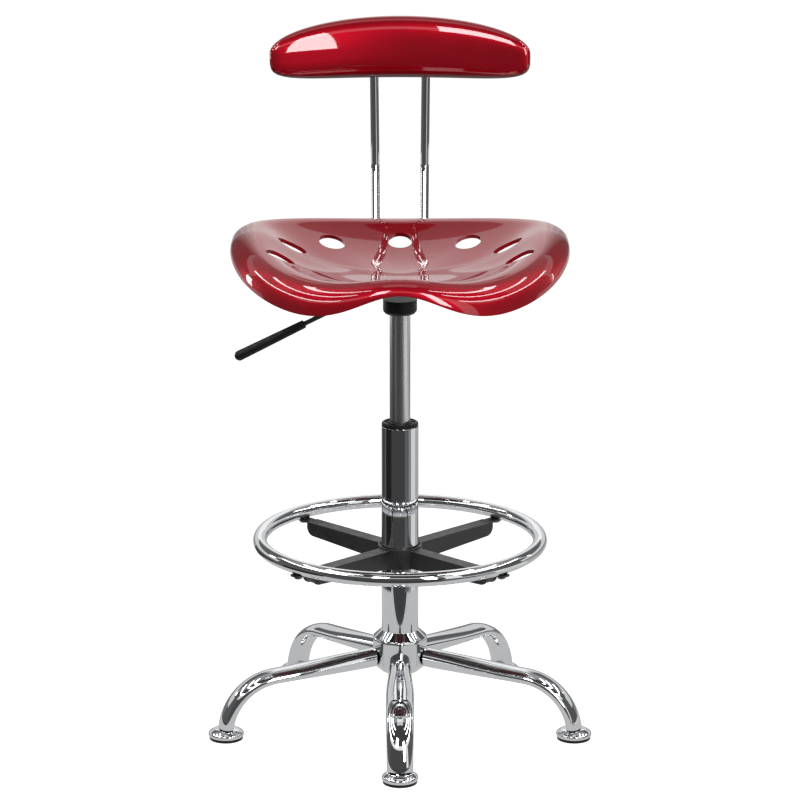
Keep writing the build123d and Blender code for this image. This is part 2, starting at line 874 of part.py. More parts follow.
# Bolts through the plate
with BuildPart() as seat_bolts:
    with BuildSketch(Plane.XY.offset(plate_bottom - hex_height)):
        with bolt_places:
            RegularPolygon(hex_r, 6)
    extrude(amount=hex_height)
    with BuildSketch(Plane.XY.offset(plate_bottom)):
        with bolt_places:
            Circle(bolt_r)
    extrude(amount=plate_thickness + bolt_depth - bolt_end_gap)
save(seat_bolts, "seat_bolts")

with BuildPart() as post_bolts:
    with BuildSketch(Plane.XY.offset(post_bottom)):
        with Locations(*post_bolt_spots):
            Circle(bolt_r)
    extrude(amount=plate_top - post_bottom)
    with BuildSketch(Plane.XY.offset(plate_top)):
        with Locations(*post_bolt_spots):
            Circle(dome_r)
    extrude(amount=dome_height)
    with BuildSketch(Plane.XY.offset(post_bottom)):
        with Locations(*post_bolt_spots):
            RegularPolygon(hex_r, 6)
    extrude(amount=-nut_height)
save(post_bolts, "post_bolts")

# Back posts, each a bent rod that runs under the seat and up behind it
for side, name in ((-1, "back_post_left"), (1, "back_post_right")):
    with BuildPart() as back_post:
        with BuildLine():
            FilletPolyline(
                (side * post_x_low, post_front_y, post_height),
                (side * post_x_low, post_heel_y, post_height),
                (side * post_x_knee, post_knee_y, post_knee_height),
                (side * post_x_top, back_y, post_top),
                radius=post_bend,
            )
        with BuildSketch(Plane.XZ.offset(-post_front_y)):
            with Locations((side * post_x_low, post_height)):
                Circle(post_r)
        sweep()
        with BuildSketch(Plane.XY.offset(post_bottom - nut_height)):
            with Locations((side * post_x_low, post_bolt_near), (side * post_x_low, post_bolt_far)):
                Circle(bolt_r)
        extrude(amount=nut_height + plate_top - post_bottom, mode=Mode.SUBTRACT)
    save(back_post, name)


# Backrest, a bent pillow moulded as a front shell and a rear cover
def back_loop(share, facing, inset):
    # One closed loop at a share of the way from the pole to the edge.
    bulge = max(1 - share**back_pillow, 0.0) ** (1 / back_pillow)
    deep = facing * (back_thickness / 2 - inset) * bulge
    half_width = back_half_width - inset
    points = []
    for index in range(loop_points):
        turn = 2 * math.pi * (index + 0.5) / loop_points
        along_x, along_z = math.cos(turn), math.sin(turn)
        reach_z = (back_rise if along_z > 0 else back_fall) - inset
        square = back_rise_squareness if along_z > 0 else back_fall_squareness
        reach = (abs(along_x / half_width) ** square + abs(along_z / reach_z) ** square) ** (-1 / square)
        swing = share * reach * along_x / back_bend
        radius = back_bend + deep
        points.append(
            (
                radius * math.sin(swing),
                back_y - back_bend + radius * math.cos(swing),
                back_centre_height + share * reach * along_z,
            )
        )
    return points


def back_loops(facing, inset):
    steps = [back_pole + (1 - back_pole) * index / (back_loop_count - 1) for index in range(back_loop_count)]
    loops = [back_loop(math.sin(math.pi / 2 * step), facing, inset) for step in steps]
    flat = sum(point[1] for point in loops[0]) / loop_points
    loops[0] = [(point[0], flat, point[2]) for point in loops[0]]
    return loops


front_core = skin_solid(back_loops(-1, 0.0), back_loops(-1, back_wall))
rear_core = skin_solid(back_loops(1, 0.0), back_loops(1, back_wall))
block_depth = back_thickness / 2 - block_inset - split_gap
block_middle = split_gap + block_depth / 2
post_swing = math.degrees(post_x_top / back_bend)
screw_front = back_y - screw_reach
screw_seat = back_y + screw_sink
screw_spots = [
    (side * post_x_top + offset, back_centre_height) for side in (-1, 1) for offset in (-screw_offset, screw_offset)
]


def post_blocks(facing):
    # Blocks inside the backrest that hold the two posts.
    with BuildPart() as blocks:
        for side in (-1, 1):
            with BuildSketch(Plane.XY.offset(back_centre_height - block_fall)):
                with Locations(Location((0, back_y - back_bend, 0), (0, 0, -side * post_swing))):
                    with Locations((0, back_bend + facing * block_middle)):
                        Rectangle(block_width, block_depth)
            extrude(amount=block_rise + block_fall)
    return blocks.part


def post_holes():
    # The straight upper ends of the posts, a little longer than they reach.
    with BuildPart() as holes:
        for side in (-1, 1):
            low_end = Vector(side * post_x_knee, post_knee_y, post_knee_height)
            high_end = Vector(side * post_x_top, back_y, post_top)
            with BuildSketch(Plane(origin=low_end, z_dir=high_end - low_end)):
                Circle(post_r)
            extrude(amount=(high_end - low_end).length + post_hole_room)
    return holes.part


def screw_holes(radius, start):
    with BuildPart() as holes:
        with BuildSketch(Plane.XZ.offset(-start)):
            with Locations(*screw_spots):
                Circle(radius)
        extrude(amount=-back_thickness)
    return holes.part


with BuildPart() as back_shell:
    add(front_core)
    add(post_blocks(-1))
    add(post_holes(), mode=Mode.SUBTRACT)
    add(screw_holes(screw_r, screw_front), mode=Mode.SUBTRACT)
save(back_shell, "back_shell")

with BuildPart() as back_cover:
    add(rear_core)
    add(post_blocks(1))
    add(post_holes(), mode=Mode.SUBTRACT)
    add(screw_holes(screw_r, screw_front), mode=Mode.SUBTRACT)
    add(screw_holes(screw_head_r, screw_seat), mode=Mode.SUBTRACT)
save(back_cover, "back_cover")

with BuildPart() as back_screws:
    with BuildSketch(Plane.XZ.offset(-screw_front)):
        with Locations(*screw_spots):
            Circle(screw_r)
    extrude(amount=screw_front - screw_seat)
    with BuildSketch(Plane.XZ.offset(-screw_seat)):
        with Locations(*screw_spots):
            Circle(screw_head_r)
    extrude(amount=-screw_head)
save(back_screws, "back_screws")

# Foot ring
ring_bolt_places = PolarLocations(ring_radius, arm_count, start_angle=arm_first_angle)
with BuildPart() as foot_ring:
    with BuildSketch(Plane.XZ):
        with Locations((ring_radius, ring_height)):
            Circle(ring_tube_r)
            Circle(ring_tube_r - ring_wall, mode=Mode.SUBTRACT)
    revolve(axis=Axis.Z)
    with BuildSketch(Plane.XY.offset(arm_top - arm_sheet)):
        with ring_bolt_places:
            Circle(bolt_r)
    extrude(amount=arm_sheet + ring_tube_r, mode=Mode.SUBTRACT)
save(foot_ring, "foot_ring")

# Four folded steel arms with a tab under the ring
with BuildPart() as one_arm:
    with BuildSketch(Plane.XZ):
        with BuildLine():
            Polyline(
                (collar_r - arm_root_overlap, arm_top),
                (arm_end, arm_top),
                (arm_end, arm_top - arm_tip_depth),
                (collar_r - arm_root_overlap, arm_top - arm_root_depth),
                close=True,
            )
        make_face()
    extrude(amount=arm_width / 2, both=True)
    outer_corner = one_arm.edges().filter_by(Axis.Y).group_by(Axis.X)[-1].sort_by(Axis.Z)[0]
    fillet(outer_corner, arm_corner)
    with BuildSketch(Plane.XY.offset(arm_top - arm_sheet)):
        with Locations((arm_end / 2, 0)):
            Rectangle(2 * arm_end, arm_width - 2 * arm_sheet)
    extrude(amount=-2 * arm_root_depth, mode=Mode.SUBTRACT)
    with BuildSketch(Plane.XY.offset(arm_top - arm_sheet)):
        with Locations(((arm_end + tab_end - tab_overlap) / 2, 0)):
            RectangleRounded(tab_end - arm_end + tab_overlap, tab_width, tab_corner)
    extrude(amount=arm_sheet)
    with BuildSketch(Plane.XY.offset(arm_top)):
        with Locations((ring_radius, 0)):
            Circle(bolt_r)
    extrude(amount=-2 * arm_sheet, mode=Mode.SUBTRACT)
    Cylinder(collar_r, 4 * ring_height, mode=Mode.SUBTRACT)
for number in range(1, arm_count + 1):
    with BuildPart() as ring_arm:
        add(one_arm.part.rotate(Axis.Z, arm_first_angle + 360 / arm_count * (number - 1)))
    save(ring_arm, f"ring_arm_{number}")

with BuildPart() as ring_bolts:
    with BuildSketch(Plane.XY.offset(arm_top - arm_sheet - ring_bolt_head)):
        with ring_bolt_places:
            Circle(dome_r)
    extrude(amount=ring_bolt_head)
    with BuildSketch(Plane.XY.offset(arm_top - arm_sheet)):
        with ring_bolt_places:
            Circle(bolt_r)
    extrude(amount=arm_sheet + ring_bolt_bite)
save(ring_bolts, "ring_bolts")


# Collar that slides on the column, with its liner and clamp knob at the rear
def clamp_hole():
    with BuildPart() as hole:
        with BuildSketch(Plane.XZ):
            with Locations((0, clamp_height)):
                Circle(clamp_r + running_gap)
        extrude(amount=-2 * collar_r)
    return hole.part


with BuildPart() as ring_collar:
    add(tube(collar_r, collar_r - collar_wall, collar_bottom, collar_top))
    fillet(ring_collar.edges().group_by(Axis.Z)[-1].sort_by(SortBy.RADIUS)[-1], collar_edge)
    add(clamp_hole(), mode=Mode.SUBTRACT)
save(ring_collar, "ring_collar")

with BuildPart() as ring_liner:
    add(
        tube(
            collar_r - collar_wall,
            column_r + liner_gap,
            collar_bottom + liner_low_inset,
            collar_top - liner_top_inset,
        )
    )
    add(clamp_hole(), mode=Mode.SUBTRACT)
save(ring_liner, "ring_liner")

clamp_tip = column_r + clamp_tip_gap
with BuildPart() as clamp_screw:
    with BuildSketch(Plane.XZ.offset(-clamp_tip)):
        with Locations((0, clamp_height)):
            Circle(clamp_r)
    extrude(amount=-(knob_start + knob_socket - clamp_tip))
save(clamp_screw, "clamp_screw")

with BuildPart() as clamp_knob:
    with BuildSketch(Plane.XZ.offset(-knob_start)):
        with Locations((0, clamp_height)):
            Circle(knob_r)
            with PolarLocations(knob_r + knob_grip_outset, knob_grips):
                Circle(knob_grip_radius, mode=Mode.SUBTRACT)
    extrude(amount=-knob_length)
    fillet(clamp_knob.faces().sort_by(Axis.Y)[-1].edges(), knob_edge)
    with BuildSketch(Plane.XZ.offset(-knob_start)):
        with Locations((0, clamp_height)):
            Circle(clamp_r)
    extrude(amount=-knob_socket, mode=Mode.SUBTRACT)
save(clamp_knob, "clamp_knob")
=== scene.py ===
import json
import math

import bmesh
import bpy
from mathutils import Matrix, Vector


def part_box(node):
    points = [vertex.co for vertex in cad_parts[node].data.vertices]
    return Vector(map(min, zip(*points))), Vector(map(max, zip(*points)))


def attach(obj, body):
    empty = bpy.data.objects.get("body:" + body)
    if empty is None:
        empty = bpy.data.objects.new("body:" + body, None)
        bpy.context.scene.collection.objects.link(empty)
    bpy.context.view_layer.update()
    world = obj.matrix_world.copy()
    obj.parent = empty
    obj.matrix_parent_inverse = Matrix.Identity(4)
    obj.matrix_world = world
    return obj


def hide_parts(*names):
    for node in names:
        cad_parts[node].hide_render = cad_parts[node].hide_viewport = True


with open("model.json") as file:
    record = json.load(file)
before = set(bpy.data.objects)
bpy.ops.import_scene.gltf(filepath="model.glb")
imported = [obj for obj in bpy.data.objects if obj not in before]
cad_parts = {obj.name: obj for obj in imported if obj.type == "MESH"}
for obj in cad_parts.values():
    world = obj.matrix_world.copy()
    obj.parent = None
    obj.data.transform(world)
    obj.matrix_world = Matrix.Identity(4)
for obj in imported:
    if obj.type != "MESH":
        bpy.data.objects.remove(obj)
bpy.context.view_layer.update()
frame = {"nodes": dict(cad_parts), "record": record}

bl_info = {
    "name": "Drafting stool",
    "version": (1, 0, 0),
    "blender": (4, 5, 0),
    "location": "View3D > Sidebar > Stool",
    "description": "Builds the shells, chrome and lift of a swivel drafting stool around its fixed frame",
    "category": "Object",
}

MM = 0.001
FULL_TURN = 2 * math.pi
LEG_COUNT = 5
ARM_COUNT = 4

# Boxes of the fixed frame that the looks are fitted to
SEAT_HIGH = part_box("seat_shell")[1]
POST_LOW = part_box("back_post_right")[0]
TUBE_LOW, TUBE_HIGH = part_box("column_tube")
BUSH_LOW, BUSH_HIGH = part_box("column_bush")
LIFT_LOW, LIFT_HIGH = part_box("gas_cylinder")
CAP_LOW, CAP_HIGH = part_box("socket_cap")
HUB_LOW, HUB_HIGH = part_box("base_hub")
RING_LOW, RING_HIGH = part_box("foot_ring")
COLLAR_LOW, COLLAR_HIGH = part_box("ring_collar")
GLIDE_LOW, GLIDE_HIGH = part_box("glide_cap_1")
PAD_LOW, PAD_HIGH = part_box("glide_pad_1")
RING_TUBE = (RING_HIGH.z - RING_LOW.z) / 2
RING_RADIUS = RING_HIGH.x - RING_TUBE
FOOT_RADIUS = -(GLIDE_LOW.y + GLIDE_HIGH.y) / 2


def amount(label, words, value, **kind):
    return bpy.props.FloatProperty(name=label, description=words, default=value, **kind)


def length(label, words, value):
    return amount(label, words, value, unit="LENGTH", precision=4)


def angle(label, words, degrees):
    return amount(label, words, math.radians(degrees), unit="ROTATION")


def count(label, words, value):
    return bpy.props.IntProperty(name=label, description=words, default=value, min=3)


def colour(label, words, value):
    return bpy.props.FloatVectorProperty(
        name=label, description=words, default=value, size=3, subtype="COLOR", min=0.0, max=1.0
    )


class StoolSeatSizes(bpy.types.PropertyGroup):
    """Shape of the dished seat."""

    half_width: length("Half width", "From the middle to the widest rim", SEAT_HIGH.x)
    front: length("Front", "Front edge before the nose is notched", -184 * MM)
    rear: length("Rear", "Rear edge", SEAT_HIGH.y)
    widest: length("Widest line", "Where along the depth the seat is widest", 78 * MM)
    rear_square: amount("Rear squareness", "How square the rear outline is", 4.8)
    front_square: amount("Front squareness", "How square the front outline is", 2.2)
    roll: length("Roll", "Reach of the rolled rim outside the crest", 36 * MM)
    nose_roll: length("Nose roll", "Reach of the rolled rim at the nose", 22 * MM)
    skin: length("Skin", "Thickness of the moulding", 5.5 * MM)
    low_y: length("Low point", "Where along the depth the dish is lowest", -25 * MM)
    low_height: length("Low height", "Height of the lowest point of the dish", 629 * MM)
    crest_rear: length("Rear crest", "Height of the rim at the rear", 668.3 * MM)
    crest_side: length("Side crest", "Height of the rim at the sides", 666.6 * MM)
    crest_front: length("Front crest", "Height of the rim at the nose", 650 * MM)
    lobe_dip: length("Lobe dip", "How far the two thigh lobes lie below the nose", 16.9 * MM)
    nose_width: length("Nose width", "Half width of the raised nose", 86 * MM)
    nose_notch: length("Nose notch", "How far the nose is set back", 8 * MM)
    front_blend: amount("Front blend", "How late the front shape takes over", 1.6)
    drop_rear: length("Rear drop", "Depth of the rim's roll at the rear", 20 * MM)
    drop_side: length("Side drop", "Depth of the rim's roll at the sides", 22.5 * MM)
    drop_lobe: length("Lobe drop", "Depth of the rim's roll at the thigh lobes", 47.4 * MM)
    drop_nose: length("Nose drop", "Depth of the rim's roll at the nose", 18 * MM)
    flat_side: amount("Side flatness", "How late the dish rises to the sides", 2.5)
    flat_front: amount("Front flatness", "How late the dish rises to the front", 3.2)
    rear_power: amount("Rear curve", "How late the bowl of the dish rises to the rear", 2.0)
    rear_ease: amount("Rear ease", "Share of the way over which the bowl levels out to the crest", 0.08)
    corner: amount("Corner", "How soon the side's shape gives way to the front's and the rear's", 0.5)
    around: count("Points around", "Mesh points round the rim", 288)


class StoolBackSizes(bpy.types.PropertyGroup):
    """Shape of the backrest and its posts."""

    half_width: length("Half width", "Along the bend, from the middle to the end", 183 * MM)
    rise: length("Rise", "From the widest line to the top edge", 46.5 * MM)
    fall: length("Fall", "From the widest line to the bottom edge", 38.2 * MM)
    rise_square: amount("Upper squareness", "How square the upper outline is", 2.0)
    fall_square: amount("Lower squareness", "How square the lower outline is", 5.2)
    height: length("Height", "Height of the widest line", 886.4 * MM)
    depth: length("Distance", "How far behind the column the middle stands", 243 * MM)
    bend: length("Bend", "Radius that the backrest is bent to", 420 * MM)
    thickness: length("Thickness", "Thickness in the middle", 36 * MM)
    wall: length("Wall", "Thickness of each moulding", 3 * MM)
    pillow: amount("Pillow", "How boxy the section is", 2.5)
    seam: length("Seam", "Half width of the groove between the two mouldings", 0.35 * MM)
    post_diameter: length("Post diameter", "Diameter of the two rods", 12 * MM)
    post_gap: length("Post gap", "Room round a rod where it enters the backrest", 0.3 * MM)
    post_low: length("Post spacing at the seat", "Half of the spacing under the seat", 33.2 * MM)
    post_knee: length("Post spacing at the knee", "Half of the spacing behind the seat", 34.2 * MM)
    post_high: length("Post spacing at the top", "Half of the spacing inside the backrest", 36 * MM)
    post_front: length("Post front", "Where the rods start under the seat", 40 * MM)
    post_heel: length("Post heel", "Where the rods turn up", 198 * MM)
    post_knee_depth: length("Post knee", "Where the rods stand upright", 240 * MM)
    post_knee_height: length("Post knee height", "Height where the rods stand upright", 722 * MM)
    post_top: length("Post top", "Upper end of the rods", 901 * MM)
    post_bend: length("Post bend", "Radius of the bends", 45 * MM)


class StoolLeverSizes(bpy.types.PropertyGroup):
    """Shape of the height lever."""

    slope: angle("Slope", "How far the lever points down", 26.6)
    start: length("Start", "Where the rod starts, right of the column's axis", 8 * MM)
    start_height: length("Start height", "Height of the rod at its start", 606.9 * MM)
    knee: length("Knee", "How far left of the axis the rod turns down", 26 * MM)
    knee_height: length("Knee height", "Height of the rod where it turns down", 606.4 * MM)
    bend: length("Bend", "Radius of the knee", 12 * MM)
    rod: length("Rod", "Radius of the rod", 3.2 * MM)
    grip_start: length("Grip start", "How far left of the axis the grip starts", 127 * MM)
    grip_end: length("Grip end", "How far left of the axis the grip ends", 220 * MM)
    grip_tip: length("Grip tip", "Length of the grip past the end of the rod", 22 * MM)
    grip_bore: length("Grip bore", "Radius of the hole in the grip", 3.3 * MM)
    grip_narrow: length("Narrow end", "Radius of the grip at its start", 5.6 * MM)
    grip_wide: length("Wide end", "Radius of the grip at its end", 7 * MM)
    grip_lip: length("Lip", "Size of the step at the start of the grip", 0.9 * MM)


class StoolBaseSizes(bpy.types.PropertyGroup):
    """Shape of the hub, the legs and the ring's arms."""

    hub_flat: length("Hub flat", "From the axis to a side of the hub", 38.6 * math.cos(math.pi / 10) * MM)
    hub_bevel: length("Hub bevel", "Size of the hub's bevels", 11 * MM)
    hub_round: length("Hub rounding", "Rounding of the hub's edges", 2.2 * MM)
    leg_start: length("Leg start", "Height of the leg's axis at the hub", 94 * MM)
    leg_droop: angle("Leg droop", "Slope of the straight part of a leg", 5.3)
    bend_start: length("Bend start", "Where the leg begins to bend down", 178 * MM)
    bend_radius: length("Bend radius", "Radius of the bend", 76 * MM)
    leg_end: length("Leg end", "Height of the lower end of a leg", 16 * MM)
    leg_wall: length("Leg wall", "Thickness of the tube", 1.6 * MM)
    hub_width: length("Width at the hub", "Width of a leg at the hub", 29 * MM)
    widest: length("Widest", "Largest width of a leg", 37.6 * MM)
    end_width: length("Width at the foot", "Width of a leg at the foot", 34.8 * MM)
    hub_depth: length("Depth at the hub", "Depth of a leg at the hub", 26.2 * MM)
    end_depth: length("Depth at the foot", "Depth of a leg at the foot", 20 * MM)
    crease: length("Crease", "Depth of the pressed crease underneath", 3.6 * MM)
    arm_gap: length("Arm gap", "From the middle of the ring's tube to the end of an arm", 17.1 * MM)
    arm_tip: length("Arm tip", "Depth of an arm at its end", 18 * MM)
    arm_corner: length("Arm corner", "Radius of the round corner at an arm's end", 12 * MM)
    arm_width: length("Arm width", "Width of an arm", 20 * MM)
    arm_sheet: length("Arm sheet", "Thickness of the folded sheet", 2.5 * MM)
    arm_inset: length("Arm inset", "How far the closed end lies inside the sides", 0.4 * MM)


class StoolFinish(bpy.types.PropertyGroup):
    """Colours of the finishes."""

    red_bright: colour("Red, lit", "Candy red of the shells", (0.50, 0.002, 0.015))
    red_deep: colour("Red, deep", "Darker red between the flakes", (0.35, 0.001, 0.011))
    # Painted shade: the shells darken to this red on faces that look down.
    red_painted_shade: colour("Red, underneath", "Bare moulding out of the lacquer's reach", (0.075, 0.001, 0.003))
    chrome: colour("Chrome", "Plated tube", (0.84, 0.85, 0.87))
    lift: colour("Lift steel", "Ground steel of the gas cylinder", (0.72, 0.725, 0.73))
    zinc: colour("Zinc", "Plated fasteners and turned parts", (0.55, 0.56, 0.58))
    enamel: colour("Enamel", "Black paint of arms and lever", (0.008, 0.008, 0.0083))
    enamel_worn: colour("Worn enamel", "Black paint on rubbed edges", (0.10, 0.10, 0.105))
    cup: colour("Cup grey", "Grey green paint of the seat cup", (0.10, 0.11, 0.104))
    cup_worn: colour("Worn cup", "Grey green paint on rubbed edges", (0.34, 0.35, 0.34))
    plastic: colour("Plastic", "Black plastic of bush, cap, grip, knob and pads", (0.006, 0.006, 0.0063))
    rubber: colour("Rubber", "Buffer in the lift", (0.03, 0.03, 0.03))


class StoolStudio(bpy.types.PropertyGroup):
    """Camera and light. Brightness is what the polished pieces show, unless it says otherwise."""

    camera_distance: length("Camera distance", "From the column to the camera along the floor", 4.591)
    camera_height: length("Camera height", "Height of the camera", 1.613)
    camera_pitch: angle("Camera pitch", "How far the camera looks down", 14.202)
    lens: amount("Lens", "Focal length in millimetres on a 36 mm sensor", 159.3)
    floor: colour("Floor", "Colour of the floor and the background", (0.92, 0.92, 0.92))
    ambient: amount("Ambient", "Light of the pale room on the object", 0.27)
    glow: amount("Floor glow", "What the floor adds for the camera so that it looks white", 0.78)
    floor_edge: length("Floor edge", "How far in front of the column the white floor ends", 0.46)
    room: amount("Dark room", "Brightness of the room in front", 0.055)
    sheet: amount("Sheet", "Brightness of the sheet under the stool", 0.56)
    roof: amount("Roof", "Brightness of the roof behind", 0.33)
    backdrop: amount("Backdrop", "Brightness of the low backdrop behind the foot ring", 0.68)
    line: amount("Lines", "Brightness of the thin lines of light", 10.0)


def sizes(name):
    return getattr(bpy.context.scene, "stool_" + name)


# Mesh helpers


def smooth_step(value):
    limited = min(max(value, 0.0), 1.0)
    return limited * limited * (3 - 2 * limited)


def skin_mesh(name, loops, closed=False):
    """Joins closed loops of points into one skin, with a fan over each end, or end to end."""
    shape = bmesh.new()
    rows = [[shape.verts.new(point) for point in loop] for loop in loops]
    points = len(rows[0])
    pairs = list(zip(rows, rows[1:]))
    if closed:
        pairs.append((rows[-1], rows[0]))
    for lower, upper in pairs:
        for index in range(points):
            after = (index + 1) % points
            shape.faces.new((lower[index], lower[after], upper[after], upper[index]))
    if not closed:
        for row in (rows[0], rows[-1]):
            middle = shape.verts.new(sum((vert.co for vert in row), Vector()) / points)
            for index in range(points):
                shape.faces.new((row[index], row[(index + 1) % points], middle))
    bmesh.ops.recalc_face_normals(shape, faces=shape.faces)
    mesh = bpy.data.meshes.new(name)
    shape.to_mesh(mesh)
    shape.free()
    return mesh


def turns_round(points, start=0.0):
    """Evenly spaced angles round a full turn."""
    return [FULL_TURN * (index + start) / points for index in range(points)]


def circle(radius, height, points, centre=(0.0, 0.0)):
    x, y = centre
    turns = turns_round(points)
    return [Vector((x + radius * math.cos(turn), y + radius * math.sin(turn), height)) for turn in turns]


def softened(corners, radius, steps=4, hold=1.3, most=0.45, hold_most=0.48):
    """Rounds the corners of a closed outline, with points beside each rounding that keep the flats flat."""
    outline = []
    points = [Vector(corner) for corner in corners]
    for index, corner in enumerate(points):
        before = points[index - 1] - corner
        after = points[(index + 1) % len(points)] - corner
        reach = min(radius, most * before.length, most * after.length)
        start = corner + before.normalized() * reach
        end = corner + after.normalized() * reach
        outline.append(corner + before.normalized() * min(hold * reach, hold_most * before.length))
        for step in range(steps + 1):
            part = step / steps
            outline.append(start * (1 - part) ** 2 + corner * 2 * part * (1 - part) + end * part**2)
        outline.append(corner + after.normalized() * min(hold * reach, hold_most * after.length))
    return outline


def filleted(corners, radius, steps=14):
    """A path through corners with rounded bends."""
    points = [Vector(corner) for corner in corners]
    path = [points[0]]
    for before, corner, after in zip(points, points[1:], points[2:]):
        inward = (before - corner).normalized()
        outward = (after - corner).normalized()
        half = inward.angle(outward) / 2
        reach = radius / math.tan(half)
        middle = corner + (inward + outward).normalized() * (radius / math.sin(half))
        start = corner + inward * reach - middle
        end = corner + outward * reach - middle
        turn = start.angle(end)
        for step in range(steps + 1):
            part = step / steps
            spot = start * math.sin((1 - part) * turn) + end * math.sin(part * turn)
            path.append(middle + spot / math.sin(turn))
    path.append(points[-1])
    return path


def swept_mesh(name, path, radius, points=32, closed=False):
    """A round rod along a path."""
    total = len(path)
    turns = turns_round(points)
    loops = []
    side = None
    for index, spot in enumerate(path):
        if closed:
            along = (path[(index + 1) % total] - path[index - 1]).normalized()
        else:
            along = (path[min(index + 1, total - 1)] - path[max(index - 1, 0)]).normalized()
        if side is None:
            side = along.orthogonal().normalized()
        side = (side - along * side.dot(along)).normalized()
        up = along.cross(side)
        loops.append([spot + (side * math.cos(turn) + up * math.sin(turn)) * radius for turn in turns])
    return skin_mesh(name, loops, closed)


def tube_section(inner, outer, low, high):
    return (inner, low), (outer, low), (outer, high), (inner, high)


def offset_points(points, radius, height):
    """Corners of a section from their offsets in millimetres, outwards and upwards."""
    return [(radius + out * MM, height + up * MM) for out, up in points]


def cut(piece, cutters):
    """Cuts the shapes out of a piece and deletes them."""
    for cutter in cutters:
        bpy.context.scene.collection.objects.link(cutter)
        step = piece.modifiers.new("cut", "BOOLEAN")
        step.operation = "DIFFERENCE"
        step.solver = "EXACT"
        step.object = cutter
    graph = bpy.context.evaluated_depsgraph_get()
    mesh = bpy.data.meshes.new_from_object(piece.evaluated_get(graph))
    piece.modifiers.clear()
    old, piece.data = piece.data, mesh
    mesh_name = old.name
    bpy.data.meshes.remove(old)
    mesh.name = mesh_name
    for cutter in cutters:
        cutter_mesh = cutter.data
        bpy.data.objects.remove(cutter)
        bpy.data.meshes.remove(cutter_mesh)


def place(name, mesh):
    piece = bpy.data.objects.new(name, mesh)
    bpy.context.scene.collection.objects.link(piece)
    return piece


def settle(piece, body, slot, *nodes, crisp=35.0):
    """Gives a piece its finish and shading, the body it rides on and the nodes it stands for."""
    mesh = piece.data
    mesh.materials.clear()
    mesh.materials.append(finish(slot))
    mesh.polygons.foreach_set("use_smooth", [True] * len(mesh.polygons))
    mesh.set_sharp_from_angle(angle=math.radians(crisp))
    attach(piece, body)
    if nodes:
        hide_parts(*nodes)


def turned(name, corners, edge, body, slot, node, points=96, centre=(0.0, 0.0)):
    """A ring turned about a vertical axis from the corners of its section."""
    loops = [circle(spot.x, spot.y, points, centre) for spot in softened(corners, edge)]
    settle(place(name, skin_mesh(name, loops, closed=True)), body, slot, node)


# Finishes


def finish_start(name):
    """A new material with its node tree and its shader."""
    material = bpy.data.materials.new(name)
    material.use_nodes = True
    tree = material.node_tree
    return material, tree, tree.nodes["Principled BSDF"]


def set_sockets(node, values):
    for key, value in values.items():
        node.inputs[key].default_value = value


def add_node(tree, kind, sockets=(), **values):
    node = tree.nodes.new(kind)
    for key, value in values.items():
        setattr(node, key, value)
    set_sockets(node, dict(sockets))
    return node


def object_noise(tree, scale, detail, stretch=(1.0, 1.0, 1.0)):
    """Noise fixed to the object's own coordinates."""
    spots = add_node(tree, "ShaderNodeTexCoord")
    mapping = add_node(tree, "ShaderNodeMapping", {"Scale": stretch})
    noise = add_node(tree, "ShaderNodeTexNoise", {"Scale": scale, "Detail": detail})
    tree.links.new(spots.outputs["Object"], mapping.inputs["Vector"])
    tree.links.new(mapping.outputs["Vector"], noise.inputs["Vector"])
    return noise.outputs["Fac"]


def span(tree, source, low, high, start=0.3, end=0.7):
    """Maps a factor onto a range of values."""
    limits = {"From Min": start, "From Max": end, "To Min": low, "To Max": high}
    node = add_node(tree, "ShaderNodeMapRange", limits)
    tree.links.new(source, node.inputs["Value"])
    return node.outputs["Result"]


def blend_colours(tree, factor, first, second):
    """A mix of two colours, each a plain colour or the output of another node."""
    node = add_node(tree, "ShaderNodeMix", data_type="RGBA")
    tree.links.new(factor, node.inputs["Factor"])
    for socket, tone in zip(node.inputs[6:8], (first, second)):
        if isinstance(tone, bpy.types.NodeSocket):
            tree.links.new(tone, socket)
        else:
            socket.default_value = (*tone, 1.0)
    return node.outputs[2]


def varied(tree, shader, pattern, first, second, rough_low, rough_high):
    """Lets one pattern vary the colour and the roughness."""
    base = blend_colours(tree, span(tree, pattern, 0.0, 1.0), first, second)
    tree.links.new(base, shader.inputs["Base Color"])
    tree.links.new(span(tree, pattern, rough_low, rough_high), shader.inputs["Roughness"])
    return base


def scaled(tone, factor, lift=0.0):
    return [min(1.0, factor * value + lift) for value in tone]


def bumped(tree, shader, heights, strength, distance):
    bump = add_node(tree, "ShaderNodeBump", {"Strength": strength, "Distance": distance})
    tree.links.new(heights, bump.inputs["Height"])
    tree.links.new(bump.outputs["Normal"], shader.inputs["Normal"])


def edge_mask(tree, radius, start, end):
    """Where the surface turns over an edge."""
    bevel = add_node(tree, "ShaderNodeBevel", {"Radius": radius}, samples=4)
    surface = add_node(tree, "ShaderNodeNewGeometry")
    meet = add_node(tree, "ShaderNodeVectorMath", operation="DOT_PRODUCT")
    tree.links.new(bevel.outputs["Normal"], meet.inputs[0])
    tree.links.new(surface.outputs["Normal"], meet.inputs[1])
    return span(tree, meet.outputs["Value"], 1.0, 0.0, start, end)


def upward(tree):
    """How far the surface faces up, from -1 to 1, in the object's own frame."""
    facing = add_node(tree, "ShaderNodeTexCoord")
    parts = add_node(tree, "ShaderNodeSeparateXYZ")
    tree.links.new(facing.outputs["Normal"], parts.inputs["Vector"])
    return parts.outputs["Z"]


